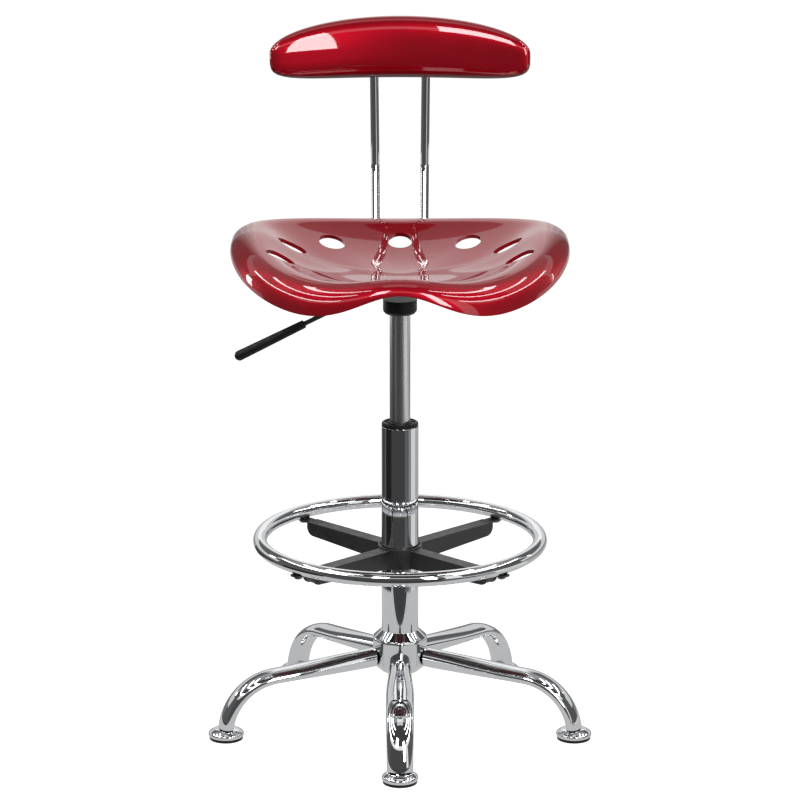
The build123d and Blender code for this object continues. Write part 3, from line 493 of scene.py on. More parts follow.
def candy_red():
    """Glossy lacquer over a fine metallic flake, with painted shade that darkens the faces looking down."""
    look = sizes("finish")
    material, tree, shader = finish_start("candy_red")
    flake = object_noise(tree, scale=2600.0, detail=1.0)
    lacquer = blend_colours(tree, span(tree, flake, 0.0, 1.0), look.red_deep, look.red_bright)
    # Painted shade: faces that look down blend from the lacquer to the dark shade red.
    painted_shade_below = span(tree, upward(tree), 1.0, 0.0, -0.7, -0.1)
    tree.links.new(blend_colours(tree, painted_shade_below, lacquer, look.red_painted_shade), shader.inputs["Base Color"])
    haze = object_noise(tree, scale=14.0, detail=4.0)
    tree.links.new(span(tree, haze, 0.34, 0.42), shader.inputs["Roughness"])
    set_sockets(shader, {"Metallic": 0.55, "Specular IOR Level": 0.0})
    set_sockets(shader, {"Coat Weight": 1.0, "Coat Roughness": 0.03, "Coat IOR": 1.7})
    ripple = object_noise(tree, scale=38.0, detail=2.0)
    bumped(tree, shader, ripple, strength=0.05, distance=0.6 * MM)
    return material


def bright_chrome():
    """Polished plate with faint waves and a little haze."""
    plate = sizes("finish").chrome
    material, tree, shader = finish_start("bright_chrome")
    haze = object_noise(tree, scale=60.0, detail=5.0)
    varied(tree, shader, haze, plate, scaled(plate, 0.96), rough_low=0.03, rough_high=0.05)
    set_sockets(shader, {"Metallic": 1.0})
    wave = object_noise(tree, scale=24.0, detail=1.0)
    bumped(tree, shader, wave, strength=0.03, distance=0.4 * MM)
    return material


def ground_steel(name, tone, rough_low, rough_high):
    """Steel with fine turned lines."""
    material, tree, shader = finish_start(name)
    lines = object_noise(tree, scale=40.0, detail=6.0, stretch=(0.4, 0.4, 60.0))
    varied(tree, shader, lines, scaled(tone, 0.9), tone, rough_low, rough_high)
    set_sockets(shader, {"Metallic": 1.0})
    bumped(tree, shader, lines, strength=0.008, distance=0.1 * MM)
    return material


def lift_steel():
    return ground_steel("lift_steel", sizes("finish").lift, rough_low=0.20, rough_high=0.25)


def zinc_steel():
    return ground_steel("zinc_steel", sizes("finish").zinc, rough_low=0.30, rough_high=0.46)


def sprayed(name, tone, worn, rough, grain):
    """Sprayed paint with a fine orange peel and rubbed edges."""
    material, tree, shader = finish_start(name)
    mottle = object_noise(tree, scale=90.0, detail=4.0)
    paint = varied(tree, shader, mottle, tone, scaled(tone, 1.7, 0.004), rough - 0.05, rough + 0.07)
    rubbed = blend_colours(tree, edge_mask(tree, radius=1.2 * MM, start=0.80, end=0.99), paint, worn)
    tree.links.new(rubbed, shader.inputs["Base Color"])
    set_sockets(shader, {"Specular IOR Level": 0.62})
    peel = object_noise(tree, grain, detail=2.0)
    bumped(tree, shader, peel, strength=0.18, distance=0.3 * MM)
    return material


def black_enamel():
    look = sizes("finish")
    return sprayed("black_enamel", look.enamel, look.enamel_worn, rough=0.40, grain=900.0)


def grey_enamel():
    look = sizes("finish")
    return sprayed("grey_enamel", look.cup, look.cup_worn, rough=0.42, grain=700.0)


def moulded(name, tone, rough, grain):
    """Moulded plastic or rubber with a fine grain."""
    material, tree, shader = finish_start(name)
    mottle = object_noise(tree, scale=55.0, detail=4.0)
    varied(tree, shader, mottle, tone, scaled(tone, 1.6, 0.003), rough - 0.06, rough + 0.08)
    set_sockets(shader, {"Specular IOR Level": 0.25})
    pores = object_noise(tree, grain, detail=3.0)
    bumped(tree, shader, pores, strength=0.22, distance=0.3 * MM)
    return material


def black_plastic():
    return moulded("black_plastic", sizes("finish").plastic, rough=0.36, grain=1100.0)


def black_rubber():
    return moulded("black_rubber", sizes("finish").rubber, rough=0.70, grain=600.0)


FINISH_MAKERS = {
    "red_shell": candy_red,
    "chrome": bright_chrome,
    "steel": zinc_steel,
    "lift_steel": lift_steel,
    "black_enamel": black_enamel,
    "grey_enamel": grey_enamel,
    "black_plastic": black_plastic,
    "rubber": black_rubber,
}
made_finishes = {}


def finish(slot):
    if slot not in made_finishes:
        made_finishes[slot] = FINISH_MAKERS[slot]()
    return made_finishes[slot]


def dress(node, slot):
    """Gives a carried-over piece its finish."""
    piece = frame["nodes"][node]
    for entry in piece.material_slots:
        entry.material = finish(slot)
    return piece


# Seat

RIM_EDGE_PARTS = (0.35, 0.65)


def seat_rim(turn):
    """Reach, crest height, roll depth and roll reach of the rim in one direction."""
    seat = sizes("seat")
    along_x, along_y = math.cos(turn), math.sin(turn)
    reach_y = seat.rear - seat.widest if along_y > 0 else seat.widest - seat.front
    square = seat.rear_square if along_y > 0 else seat.front_square
    reach = (abs(along_x / seat.half_width) ** square + abs(along_y / reach_y) ** square) ** (-1 / square)
    front = max(-along_y, 0.0) ** seat.front_blend
    rear = max(along_y, 0.0) ** 2
    nose = math.exp(-((reach * along_x / seat.nose_width) ** 2))
    lobe = 1 - nose
    crest = seat.crest_side + (seat.crest_rear - seat.crest_side) * rear
    crest += (seat.crest_front - seat.crest_side) * front
    crest -= seat.lobe_dip * front * lobe
    drop = seat.drop_side + (seat.drop_rear - seat.drop_side) * rear
    drop += front * ((seat.drop_lobe - seat.drop_side) * lobe + (seat.drop_nose - seat.drop_side) * nose)
    roll = seat.roll + (seat.nose_roll - seat.roll) * front * nose
    return reach - seat.nose_notch * front * nose, crest, drop, roll


def bowl_lift(part):
    """Share of the height of the rear wall, a bowl that levels out at the crest."""
    seat = sizes("seat")
    start = 1 - seat.rear_ease
    climb = seat.rear_power * start ** (seat.rear_power - 1) * seat.rear_ease
    full = start**seat.rear_power + climb / 2
    if part <= start:
        return part**seat.rear_power / full
    gone = (part - start) / seat.rear_ease
    return (start**seat.rear_power + climb * (gone - gone * gone / 2)) / full


def seat_dish(turn, part, sink):
    """A point of the dish at a share of the way from its lowest point to the crest."""
    seat = sizes("seat")
    reach, crest, _, roll = seat_rim(turn)
    along_y = math.sin(turn)
    crest_x = (reach - roll) * math.cos(turn)
    crest_y = seat.widest + (reach - roll) * along_y
    corner = smooth_step(abs(along_y) / seat.corner)
    flat = seat.flat_side
    if along_y < 0:
        flat += (seat.flat_front - seat.flat_side) * corner
    lift = (1 - math.cos(math.pi * part**flat)) / 2
    if along_y > 0:
        lift += (bowl_lift(part) - lift) * corner
    height = seat.low_height + (crest - seat.low_height) * lift - sink
    return Vector((crest_x * part, seat.low_y + (crest_y - seat.low_y) * part, height))


def seat_lip(turn, bend, sink):
    """A point of the rolled rim, from the crest over the edge."""
    reach, crest, drop, roll = seat_rim(turn)
    out = reach - roll + (roll - sink) * math.sin(bend)
    height = crest - sink - (drop - sink) * (1 - math.cos(bend))
    return Vector((out * math.cos(turn), sizes("seat").widest + out * math.sin(turn), height))


def seat_skin(sink, dish_rows=56, lip_rows=26):
    """Loops from the middle of the dish to the lower edge of the rim."""
    turns = turns_round(sizes("seat").around, 0.5)
    dish = [[seat_dish(turn, row / dish_rows, sink) for turn in turns] for row in range(1, dish_rows + 1)]
    bends = [math.pi / 2 * row / lip_rows for row in range(1, lip_rows + 1)]
    return dish + [[seat_lip(turn, bend, sink) for turn in turns] for bend in bends]


# Air holes: direction in degrees, share of the way to the crest, length, width
REAR_HOLE = (90.0, 0.691, 38.7 * MM, 32.8 * MM)
SIDE_HOLES = (
    (29.9, 0.660, 44.6 * MM, 30.3 * MM),
    (4.6, 0.755, 45.4 * MM, 29.3 * MM),
    (-26.1, 0.869, 41.6 * MM, 33.0 * MM),
)
HOLE_CUT_DEPTH = 20 * MM
HOLE_POINTS = 72


def hole_cutter(direction, part, hole_length, hole_width):
    """An oval plug square to the dish."""
    turn = math.radians(direction)
    step = 0.02
    middle = seat_dish(turn, part, 0.0)
    outward = (seat_dish(turn, part + step, 0.0) - middle).normalized()
    sideways = seat_dish(turn + step, part, 0.0) - middle
    up = outward.cross(sideways).normalized()
    along, across = outward * hole_length / 2, up.cross(outward) * hole_width / 2
    oval = [middle + along * spot.x + across * spot.y for spot in circle(1.0, 0.0, HOLE_POINTS)]
    loops = [[spot + up * level for spot in oval] for level in (-HOLE_CUT_DEPTH, HOLE_CUT_DEPTH)]
    return bpy.data.objects.new("hole_cutter", skin_mesh("hole_cutter", loops))


class STOOL_OT_seat(bpy.types.Operator):
    """Mould the dished seat with its rolled rim and air holes"""

    bl_idname = "stool.seat"
    bl_label = "Seat"

    def execute(self, context):
        upper, lower = seat_skin(0.0), seat_skin(context.scene.stool_seat.skin)
        pairs = list(zip(upper[-1], lower[-1]))
        edge = [[outer.lerp(inner, part) for outer, inner in pairs] for part in RIM_EDGE_PARTS]
        piece = place("seat_moulding", skin_mesh("seat_moulding", upper + edge + lower[::-1]))
        holes = [REAR_HOLE, *SIDE_HOLES, *[(180 - turn, *rest) for turn, *rest in SIDE_HOLES]]
        cut(piece, [hole_cutter(*hole) for hole in holes])
        settle(piece, "seat", "red_shell", "seat_shell")
        return {"FINISHED"}


# Backrest


def back_loop(part, facing, inset, points=240):
    """One loop of a moulding at a share of the way from its middle to its edge."""
    back = sizes("back")
    bulge = max(1 - part**back.pillow, 0.0) ** (1 / back.pillow)
    radius = back.bend + facing * ((back.thickness / 2 - inset) * bulge + back.seam)
    half_width = back.half_width - inset
    middle = back.depth - back.bend
    loop = []
    for turn in turns_round(points, 0.5):
        along_x, along_z = math.cos(turn), math.sin(turn)
        reach_z = (back.rise if along_z > 0 else back.fall) - inset
        square = back.rise_square if along_z > 0 else back.fall_square
        reach = (abs(along_x / half_width) ** square + abs(along_z / reach_z) ** square) ** (-1 / square)
        swing = part * reach * along_x / back.bend
        height = back.height + part * reach * along_z
        loop.append(Vector((radius * math.sin(swing), middle + radius * math.cos(swing), height)))
    return loop


def back_moulding(name, facing, rows=40):
    parts = [math.sin(math.pi / 2 * row / rows) for row in range(1, rows + 1)]
    outside = [back_loop(part, facing, 0.0) for part in parts]
    inside = [back_loop(part, facing, sizes("back").wall) for part in parts[::-1]]
    return place(name, skin_mesh(name, outside + inside))


def post_path(side):
    back = sizes("back")
    under = POST_LOW.z + back.post_diameter / 2
    corners = (
        (side * back.post_low, back.post_front, under),
        (side * back.post_low, back.post_heel, under),
        (side * back.post_knee, back.post_knee_depth, back.post_knee_height),
        (side * back.post_high, back.depth, back.post_top),
    )
    return filleted(corners, back.post_bend)


def post_bore(side):
    back = sizes("back")
    mesh = swept_mesh("post_bore", post_path(side)[-2:], back.post_diameter / 2 + back.post_gap)
    return bpy.data.objects.new("post_bore", mesh)


class STOOL_OT_backrest(bpy.types.Operator):
    """Mould the front and the rear of the backrest"""

    bl_idname = "stool.backrest"
    bl_label = "Backrest"

    def execute(self, context):
        for name, facing, node in (("backrest_front", -1, "back_shell"), ("backrest_rear", 1, "back_cover")):
            piece = back_moulding(name, facing)
            cut(piece, [post_bore(side) for side in (-1, 1)])
            settle(piece, "seat", "red_shell", node)
        return {"FINISHED"}


class STOOL_OT_posts(bpy.types.Operator):
    """Bend the two chromed posts"""

    bl_idname = "stool.posts"
    bl_label = "Back posts"

    def execute(self, context):
        radius = context.scene.stool_back.post_diameter / 2
        for side, word in ((-1, "left"), (1, "right")):
            name = f"{word}_post_rod"
            piece = place(name, swept_mesh(name, post_path(side), radius, points=40))
            settle(piece, "seat", "chrome", f"back_post_{word}")
        return {"FINISHED"}


# Lift and column

LIFT_WALL = 2 * MM
LIFT_TAPER = 26 * MM
LIFT_TAPER_IN = 0.65 * MM
LIFT_EDGE = 0.6 * MM
SOCKET_RADIUS = 19.5 * MM
CAP_GAP = 0.4 * MM
CAP_FLOOR = 2 * MM
CAP_BEVEL = ((-3.4, 0.0), (0.0, 4.2))
CAP_EDGE = 1.8 * MM
COLUMN_WALL = 1.5 * MM
COLUMN_EDGE = 0.5 * MM
BUSH_GAP = 0.05 * MM
BUSH_STEP = 0.4 * MM
BUSH_HEAD = ((-0.2, -1.4), (-1.8, 0.0), (-4.0, 0.0), (-4.6, -2.5))
BUSH_LIP = ((2.6, -2.5), (2.0, 0.0), (0.0, 0.0))
BUSH_EDGE = 0.7 * MM


class STOOL_OT_lift(bpy.types.Operator):
    """Turn the gas cylinder and the black ring above it"""

    bl_idname = "stool.lift"
    bl_label = "Gas lift"

    def execute(self, context):
        radius, top = LIFT_HIGH.x, LIFT_HIGH.z
        inner = radius - LIFT_WALL
        side = (radius, LIFT_LOW.z), (radius, top - LIFT_TAPER), (radius - LIFT_TAPER_IN, top)
        cylinder = (inner, LIFT_LOW.z), *side, (inner, top)
        turned("lift_cylinder", cylinder, LIFT_EDGE, "seat", "lift_steel", "gas_cylinder")
        outer, bore, floor = CAP_HIGH.x, radius + CAP_GAP, CAP_LOW.z + CAP_FLOOR
        outside = (bore, CAP_LOW.z), *offset_points(CAP_BEVEL, outer, CAP_LOW.z), (outer, CAP_HIGH.z)
        ring = *outside, (SOCKET_RADIUS, CAP_HIGH.z), (SOCKET_RADIUS, floor), (bore, floor)
        turned("socket_ring", ring, CAP_EDGE, "seat", "black_plastic", "socket_cap")
        return {"FINISHED"}


class STOOL_OT_column(bpy.types.Operator):
    """Turn the chromed column tube and its black guide bush"""

    bl_idname = "stool.column"
    bl_label = "Column"

    def execute(self, context):
        radius = TUBE_HIGH.x
        inner = radius - COLUMN_WALL
        sleeve = tube_section(inner, radius, TUBE_LOW.z, TUBE_HIGH.z)
        turned("column_sleeve", sleeve, COLUMN_EDGE, "base", "chrome", "column_tube", points=128)
        bore, top = LIFT_HIGH.x + BUSH_GAP, BUSH_HIGH.z
        plug = (bore, BUSH_LOW.z), (inner, BUSH_LOW.z), (inner, TUBE_HIGH.z)
        shoulder = (radius - BUSH_STEP, TUBE_HIGH.z)
        bush = *plug, shoulder, *offset_points(BUSH_HEAD, radius, top), *offset_points(BUSH_LIP, bore, top)
        turned("guide_bush", bush, BUSH_EDGE, "base", "black_plastic", "column_bush")
        return {"FINISHED"}


# Lever

GRIP_ROWS = 12
GRIP_TIP_ROWS = 14
GRIP_TIP_CLOSING = 14.5


class STOOL_OT_lever(bpy.types.Operator):
    """Bend the height lever and mould its grip"""

    bl_idname = "stool.lever"
    bl_label = "Height lever"

    def execute(self, context):
        lever = context.scene.stool_lever
        down = Vector((-math.cos(lever.slope), 0.0, -math.sin(lever.slope)))
        start = Vector((lever.start, 0.0, lever.start_height))
        knee = Vector((-lever.knee, 0.0, lever.knee_height))
        root, tip = [
            knee + down * ((reach - lever.knee) / math.cos(lever.slope))
            for reach in (lever.grip_start, lever.grip_end)
        ]
        path = filleted((start, knee, tip - down * lever.grip_tip), lever.bend)
        rod = place("lever_rod", swept_mesh("lever_rod", path, lever.rod, points=28))
        settle(rod, "lever", "black_enamel", "lever_arm")
        side = Vector((0.0, 1.0, 0.0))
        up = side.cross(down)
        loops = []
        for along, radius in self.grip_rows(lever, (tip - root).length - lever.grip_wide):
            ring = circle(radius, 0.0, points=48)
            loops.append([root + down * along + side * spot.x + up * spot.y for spot in ring])
        handle = place("lever_handle", skin_mesh("lever_handle", loops))
        settle(handle, "lever", "black_plastic", "lever_grip")
        return {"FINISHED"}

    def grip_rows(self, lever, straight):
        """Places along the grip with their radius: the lip, the widening part and the round tip."""
        narrow, wide, lip = lever.grip_narrow, lever.grip_wide, lever.grip_lip
        rows = [(0.0, lever.grip_bore), (0.0, narrow - lip)]
        for step in range(GRIP_ROWS + 1):
            along = lip + (straight - lip) * step / GRIP_ROWS
            rows.append((along, narrow + (wide - narrow) * along / straight))
        for step in range(1, GRIP_TIP_ROWS + 1):
            turn = math.pi / 2 * step / GRIP_TIP_CLOSING
            rows.append((straight + wide * math.sin(turn), wide * math.cos(turn)))
        return rows


# Foot ring

COLLAR_WALL = 2.4 * MM
COLLAR_EDGE = 0.8 * MM
ARM_FOLD = 0.9 * MM
KNOB_EDGE = 0.8 * MM


class STOOL_OT_foot_ring(bpy.types.Operator):
    """Roll the chromed foot ring and turn its collar"""

    bl_idname = "stool.foot_ring"
    bl_label = "Foot ring"

    def execute(self, context):
        path = circle(RING_RADIUS, (RING_HIGH.z + RING_LOW.z) / 2, points=256)
        piece = place("ring_tube", swept_mesh("ring_tube", path, RING_TUBE, points=40, closed=True))
        settle(piece, "foot_ring", "chrome", "foot_ring")
        outer = COLLAR_HIGH.x
        band = tube_section(outer - COLLAR_WALL, outer, COLLAR_LOW.z, COLLAR_HIGH.z)
        turned("collar_band", band, COLLAR_EDGE, "foot_ring", "black_enamel", "ring_collar")
        return {"FINISHED"}


def arm_end_mesh(name, direction, steps=10):
    """The folded end that closes an arm, just inside the round corner of its sides."""
    base = sizes("base")
    centre = RING_RADIUS - base.arm_gap - base.arm_corner
    middle = RING_LOW.z - base.arm_tip + base.arm_corner
    along = Vector((math.cos(direction), math.sin(direction), 0.0))
    across = Vector((-along.y, along.x, 0.0)) * (base.arm_width - base.arm_sheet) / 2
    outside = base.arm_corner - base.arm_inset
    loops = []
    for row in range(-1, steps + 1):
        bend = math.pi / 2 * max(row, 0) / steps
        level = middle if row >= 0 else RING_LOW.z - base.arm_sheet + base.arm_inset
        outer, inner = [
            along * (centre + radius * math.cos(bend)) + Vector((0.0, 0.0, level - radius * math.sin(bend)))
            for radius in (outside, outside - base.arm_sheet)
        ]
        loops.append([outer - across, outer + across, inner + across, inner - across])
    return skin_mesh(name, loops)


def soften_node(node, slot, width):
    """Gives a carried-over piece its finish and soft edges."""
    bevel = dress(node, slot).modifiers.new("soft_edges", "BEVEL")
    bevel.width = width
    bevel.segments = 3
    bevel.limit_method = "ANGLE"
    bevel.angle_limit = math.radians(30)


class STOOL_OT_ring_arms(bpy.types.Operator):
    """Round the folds of the black arms, close their ends and round the lobes of the clamp knob"""

    bl_idname = "stool.ring_arms"
    bl_label = "Ring arms and knob"

    def execute(self, context):
        for number, direction in enumerate(turns_round(ARM_COUNT, 0.5), 1):
            soften_node(f"ring_arm_{number}", "black_enamel", ARM_FOLD)
            name = f"arm_end_{number}"
            settle(place(name, arm_end_mesh(name, direction)), "foot_ring", "black_enamel")
        soften_node("clamp_knob", "black_plastic", KNOB_EDGE)
        return {"FINISHED"}


# Base

# Shares of a leg's length, from the hub to the foot
LEG_SQUARE_END = 0.04
LEG_WIDEST = 0.47
LEG_THINNED = 0.55
LEG_NARROW_START = 0.6
LEG_CREASE_START = 0.35
LEG_CREASE_RISE = 0.35
# Shares of a leg's width and of the crease's depth
CREASE_WIDTH = 0.26
CREASE_LOSS = 0.8
LEG_ROWS = 90
# Mesh points on a facet of the hub, and shares of its rounding
FACET_POINTS = 12
CORNER_TRIM = 0.35
CORNER_SOFTNESS = 0.12
# Sizes and section offsets of a glide, out from its rim and up
GLIDE_STEM = 4.05 * MM
GLIDE_SHEET = 1.2 * MM
GLIDE_SIDE = ((-2.4, 0.0), (-1.2, 0.0), (0.0, 1.6), (0.0, 5.0), (-2.6, 7.2))
GLIDE_CROWN = ((-7.5, -1.0), (-14.0, 0.0))
GLIDE_CROWN_INSIDE = ((-15.0, -1.2), (-8.0, -3.4))
GLIDE_SIDE_INSIDE = ((-3.8, 5.0),)
GLIDE_EDGE = 2.2 * MM
PAD_HOLE = 0.3 * MM
PAD_EDGE = 1.2 * MM


def leg_axis(part):
    """Distance from the column, height and tilt of the front leg's axis at a share of its length."""
    base = sizes("base")
    droop, bend = base.leg_droop, base.bend_radius
    level = base.bend_start - base.hub_flat
    run = level / math.cos(droop)
    bend_r = base.bend_start - bend * math.sin(droop)
    bend_z = base.leg_start - level * math.tan(droop) - bend * math.cos(droop)
    bend_end = math.acos((base.leg_end - bend_z) / bend)
    along = part * (run + bend * (bend_end - droop))
    if along < run:
        return base.hub_flat + along * math.cos(droop), base.leg_start - along * math.sin(droop), droop
    tilt = droop + (along - run) / bend
    return bend_r + bend * math.sin(tilt), bend_z + bend * math.cos(tilt), tilt


def leg_loop(part, inset, points=72):
    """One section of the front leg at a share of its length."""
    base = sizes("base")
    radius, height, tilt = leg_axis(part)
    foot = smooth_step((part - 1 + LEG_SQUARE_END) / LEG_SQUARE_END)
    tilt += -tilt * (1 - smooth_step(part / LEG_SQUARE_END)) + (math.pi / 2 - tilt) * foot
    narrow = smooth_step((part - LEG_NARROW_START) / (1 - LEG_NARROW_START))
    width = base.hub_width + (base.widest - base.hub_width) * smooth_step(part / LEG_WIDEST)
    width -= (base.widest - base.end_width) * narrow
    depth = base.hub_depth + (base.end_depth - base.hub_depth) * smooth_step(part / LEG_THINNED)
    crease = base.crease * smooth_step((part - LEG_CREASE_START) / LEG_CREASE_RISE)
    crease *= 1 - CREASE_LOSS * narrow
    loop = []
    for turn in turns_round(points, 0.5):
        across = (width / 2 - inset) * math.cos(turn)
        out = (depth / 2 - inset) * math.sin(turn)
        if out < 0:
            pressed = math.exp(-((across / (CREASE_WIDTH * width)) ** 2))
            out += crease * pressed * min(1.0, -2 * math.sin(turn))
        loop.append(Vector((across, -(radius + out * math.sin(tilt)), height + out * math.cos(tilt))))
    return loop


class STOOL_OT_legs(bpy.types.Operator):
    """Press and bend the five chromed legs"""

    bl_idname = "stool.legs"
    bl_label = "Legs"

    def execute(self, context):
        parts = [row / LEG_ROWS for row in range(LEG_ROWS + 1)]
        outside = [leg_loop(part, 0.0) for part in parts]
        inside = [leg_loop(part, context.scene.stool_base.leg_wall) for part in parts[::-1]]
        for number, turn in enumerate(turns_round(LEG_COUNT), 1):
            name = f"leg_tube_{number}"
            spin = Matrix.Rotation(turn, 3, "Z")
            loops = [[spin @ spot for spot in loop] for loop in outside + inside]
            settle(place(name, skin_mesh(name, loops, closed=True)), "base", "chrome", f"leg_{number}")
        return {"FINISHED"}


class STOOL_OT_hub(bpy.types.Operator):
    """Cast the faceted chromed hub"""

    bl_idname = "stool.hub"
    bl_label = "Hub"

    def execute(self, context):
        base = context.scene.stool_base
        bore, flat, bevel = TUBE_HIGH.x, base.hub_flat, base.hub_bevel
        low, high = HUB_LOW.z, HUB_HIGH.z
        lower = (bore, low), (flat - bevel, low), (flat, low + bevel)
        corners = *lower, (flat, high - bevel), (flat - bevel, high), (bore, high)
        spots = softened(corners, base.hub_round, steps=5)
        loops = [self.ring(spot.x, spot.y, bore, base.hub_round) for spot in spots]
        piece = place("hub_casting", skin_mesh("hub_casting", loops, closed=True))
        settle(piece, "base", "chrome", "base_hub")
        return {"FINISHED"}

    def ring(self, flat, height, bore, rounding):
        """A ring with two facets for each leg and rounded corners, round at the bore."""
        sides = 2 * LEG_COUNT
        if flat <= bore + rounding:
            return circle(flat, height, sides * FACET_POINTS)
        facet = FULL_TURN / sides
        limit = flat / math.cos(facet / 2) - CORNER_TRIM * rounding
        soft = CORNER_SOFTNESS * rounding
        loop = []
        for turn in turns_round(sides * FACET_POINTS):
            straight = flat / math.cos((turn + facet / 2) % facet - facet / 2)
            reach = limit - math.log(1 + math.exp((limit - straight) / soft)) * soft
            loop.append(Vector((reach * math.cos(turn), reach * math.sin(turn), height)))
        return loop


class STOOL_OT_glides(bpy.types.Operator):
    """Spin the domed chrome glides and their black pads"""

    bl_idname = "stool.glides"
    bl_label = "Glides"

    def execute(self, context):
        outer, low, high = GLIDE_HIGH.x, GLIDE_LOW.z, GLIDE_HIGH.z
        outside = *offset_points(GLIDE_SIDE, outer, low), *offset_points(GLIDE_CROWN, outer, high)
        hole = (GLIDE_STEM, high), (GLIDE_STEM, high - GLIDE_SHEET)
        inside = offset_points(GLIDE_CROWN_INSIDE, outer, high) + offset_points(GLIDE_SIDE_INSIDE, outer, low)
        dome = *outside, *hole, *inside
        pad = tube_section(PAD_HOLE, PAD_HIGH.x, PAD_LOW.z, low)
        for number, turn in enumerate(turns_round(LEG_COUNT), 1):
            centre = FOOT_RADIUS * math.sin(turn), -FOOT_RADIUS * math.cos(turn)
            for name, corners, edge, slot, node in (
                ("glide_dome", dome, GLIDE_EDGE, "chrome", "glide_cap"),
                ("glide_foot", pad, PAD_EDGE, "black_plastic", "glide_pad"),
            ):
                body, stands_for = f"glide_{number}", f"{node}_{number}"
                turned(f"{name}_{number}", corners, edge, body, slot, stands_for, points=72, centre=centre)
        return {"FINISHED"}


class STOOL_OT_carried(bpy.types.Operator):
    """Finish the fasteners and the inner pieces that keep their own shape"""

    bl_idname = "stool.carried"
    bl_label = "Carried pieces"

    def execute(self, context):
        for entry in frame["record"]["subparts"]:
            if not frame["nodes"][entry["node"]].hide_render:
                dress(entry["node"], entry["material_slot"])
        return {"FINISHED"}


# Stage

# Lamps: name, azimuth and elevation in degrees, distance, width, height, brightness, height they aim at
LAMPS = (
    ("right_box", 23.0, 17.0, 2.8, 0.46, 1.9, 10.0, 0.75),
    ("left_box", -17.0, 34.0, 2.8, 0.55, 0.9, 10.0, 0.75),
    ("right_side_box", 124.0, 6.0, 2.2, 0.35, 0.55, 9.0, 0.65),
    ("left_side_box", -118.0, 5.0, 2.2, 0.35, 0.55, 9.0, 0.65),
    ("top_box", 0.0, 84.0, 2.4, 1.2, 0.9, 0.6, 0.75),
)
# Floor as the chrome shows it: name, azimuths in degrees, radii in metres, brightness
FLOOR_CARDS = (
    ("column_left", -145.0, -108.0, 0.62, 1.75, 0.05),
    ("column_grey", -108.0, -95.0, 0.62, 1.75, 0.10),
    ("column_black", -95.0, -55.0, 0.62, 1.75, 0.015),
    ("column_soft", 30.0, 55.0, 0.62, 1.75, 0.12),
    ("column_step", 55.0, 72.0, 0.62, 1.75, 0.25),
    ("column_light", 72.0, 108.0, 0.62, 1.75, 0.72),
    ("column_right", 108.0, 140.0, 0.62, 1.75, 0.42),
    ("lift_left", -145.0, -88.0, 1.75, 2.9, 0.12),
    ("lift_black", -88.0, -62.0, 1.75, 2.9, 0.06),
    ("lift_grey", -62.0, -34.0, 1.75, 2.9, 0.2),
    ("lift_soft", 30.0, 46.0, 1.75, 2.9, 0.2),
    ("lift_light", 46.0, 84.0, 1.75, 2.9, 1.15),
    ("lift_step", 84.0, 108.0, 1.75, 2.9, 0.5),
    ("lift_right", 108.0, 145.0, 1.75, 2.9, 0.28),
    ("post_left", -145.0, -60.0, 2.9, 4.0, 0.1),
    ("post_stripe", 34.0, 47.0, 2.9, 4.0, 1.0),
    ("post_right", 47.0, 145.0, 2.9, 4.0, 0.12),
    ("rear", 145.0, 215.0, 0.62, 4.0, 0.42),
)
# Walls as the polished pieces show them: name, azimuths in degrees, heights in metres, brightness
WALL_CARDS = (
    ("front_wall", -60.0, 34.0, 0.0, 2.6, 0.07),
    ("front_band", -75.0, 75.0, 2.6, 3.3, 0.9),
    ("stripe_wall", 34.0, 47.0, 0.0, 2.6, 0.9),
    ("right_wall", 47.0, 118.0, 0.0, 2.6, 0.1),
    ("left_wall", -118.0, -60.0, 0.0, 2.6, 0.1),
    ("right_high", 75.0, 118.0, 2.6, 3.4, 0.1),
    ("left_high", -118.0, -75.0, 2.6, 3.4, 0.1),
    ("rear_low", 118.0, 242.0, 0.0, 0.7, 0.2),
    ("rear_right", 118.0, 162.0, 0.7, 3.4, 0.6),
    ("rear_left", -162.0, -118.0, 0.7, 3.4, 0.6),
)
# Strips of the graded card on each side behind the stool: near edge, far edge, brightness
FLAG_STRIPS = (
    (0.27, 0.32, 0.8),
    (0.32, 0.37, 0.6),
    (0.37, 0.42, 0.4),
    (0.42, 0.48, 0.25),
    (0.48, 1.6, 0.12),
)
FLAG_DEPTH, FLAG_LOW, FLAG_HIGH = 0.9, 0.58, 1.3
FLOOR_REACH = 14.0
ROOM_REACH = 4.0
ROOF_HEIGHT = 3.4
ROOF_FRONT, ROOF_MIDDLE, ROOF_GAP = -0.3, 2.45, 0.8
BACKDROP_RADIUS, BACKDROP_LOW, BACKDROP_HIGH = 1.2, 0.28, 0.57
BACKDROP_START, BACKDROP_END = 100.0, 260.0
# Thin lines of light: degrees above their centre, half of their width, and where they start and end
LINE_ELEVATIONS = (31.0, 46.0, 58.0)
LINE_HALF = 1.1
LINE_START, LINE_END = 45.0, 125.0
LINE_RADIUS, LINE_CENTRE = 3.0, 0.65
WHITE = (1.0, 1.0, 1.0, 1.0)
BLACK = (0.0, 0.0, 0.0, 1.0)


def studio_spot(azimuth, elevation, distance, height):
    """A place round the stool, with azimuth 0 at the camera and positive to the right."""
    side, up = math.radians(azimuth), math.radians(elevation)
    level = distance * math.cos(up)
    return Vector((level * math.sin(side), -level * math.cos(side), height + distance * math.sin(up)))


def softbox(name, azimuth, elevation, distance, width, height, radiance, target):
    """A lamp with a plain rectangular face."""
    data = bpy.data.lights.new(name, "AREA")
    data.shape = "RECTANGLE"
    data.size, data.size_y = width, height
    data.energy = radiance * math.pi * width * height
    lamp = place(name, data)
    lamp.location = studio_spot(azimuth, elevation, distance, target)
    toward = Vector((0.0, 0.0, target)) - lamp.location
    lamp.rotation_euler = toward.to_track_quat("-Z", "Y").to_euler()
    lamp.visible_camera = False


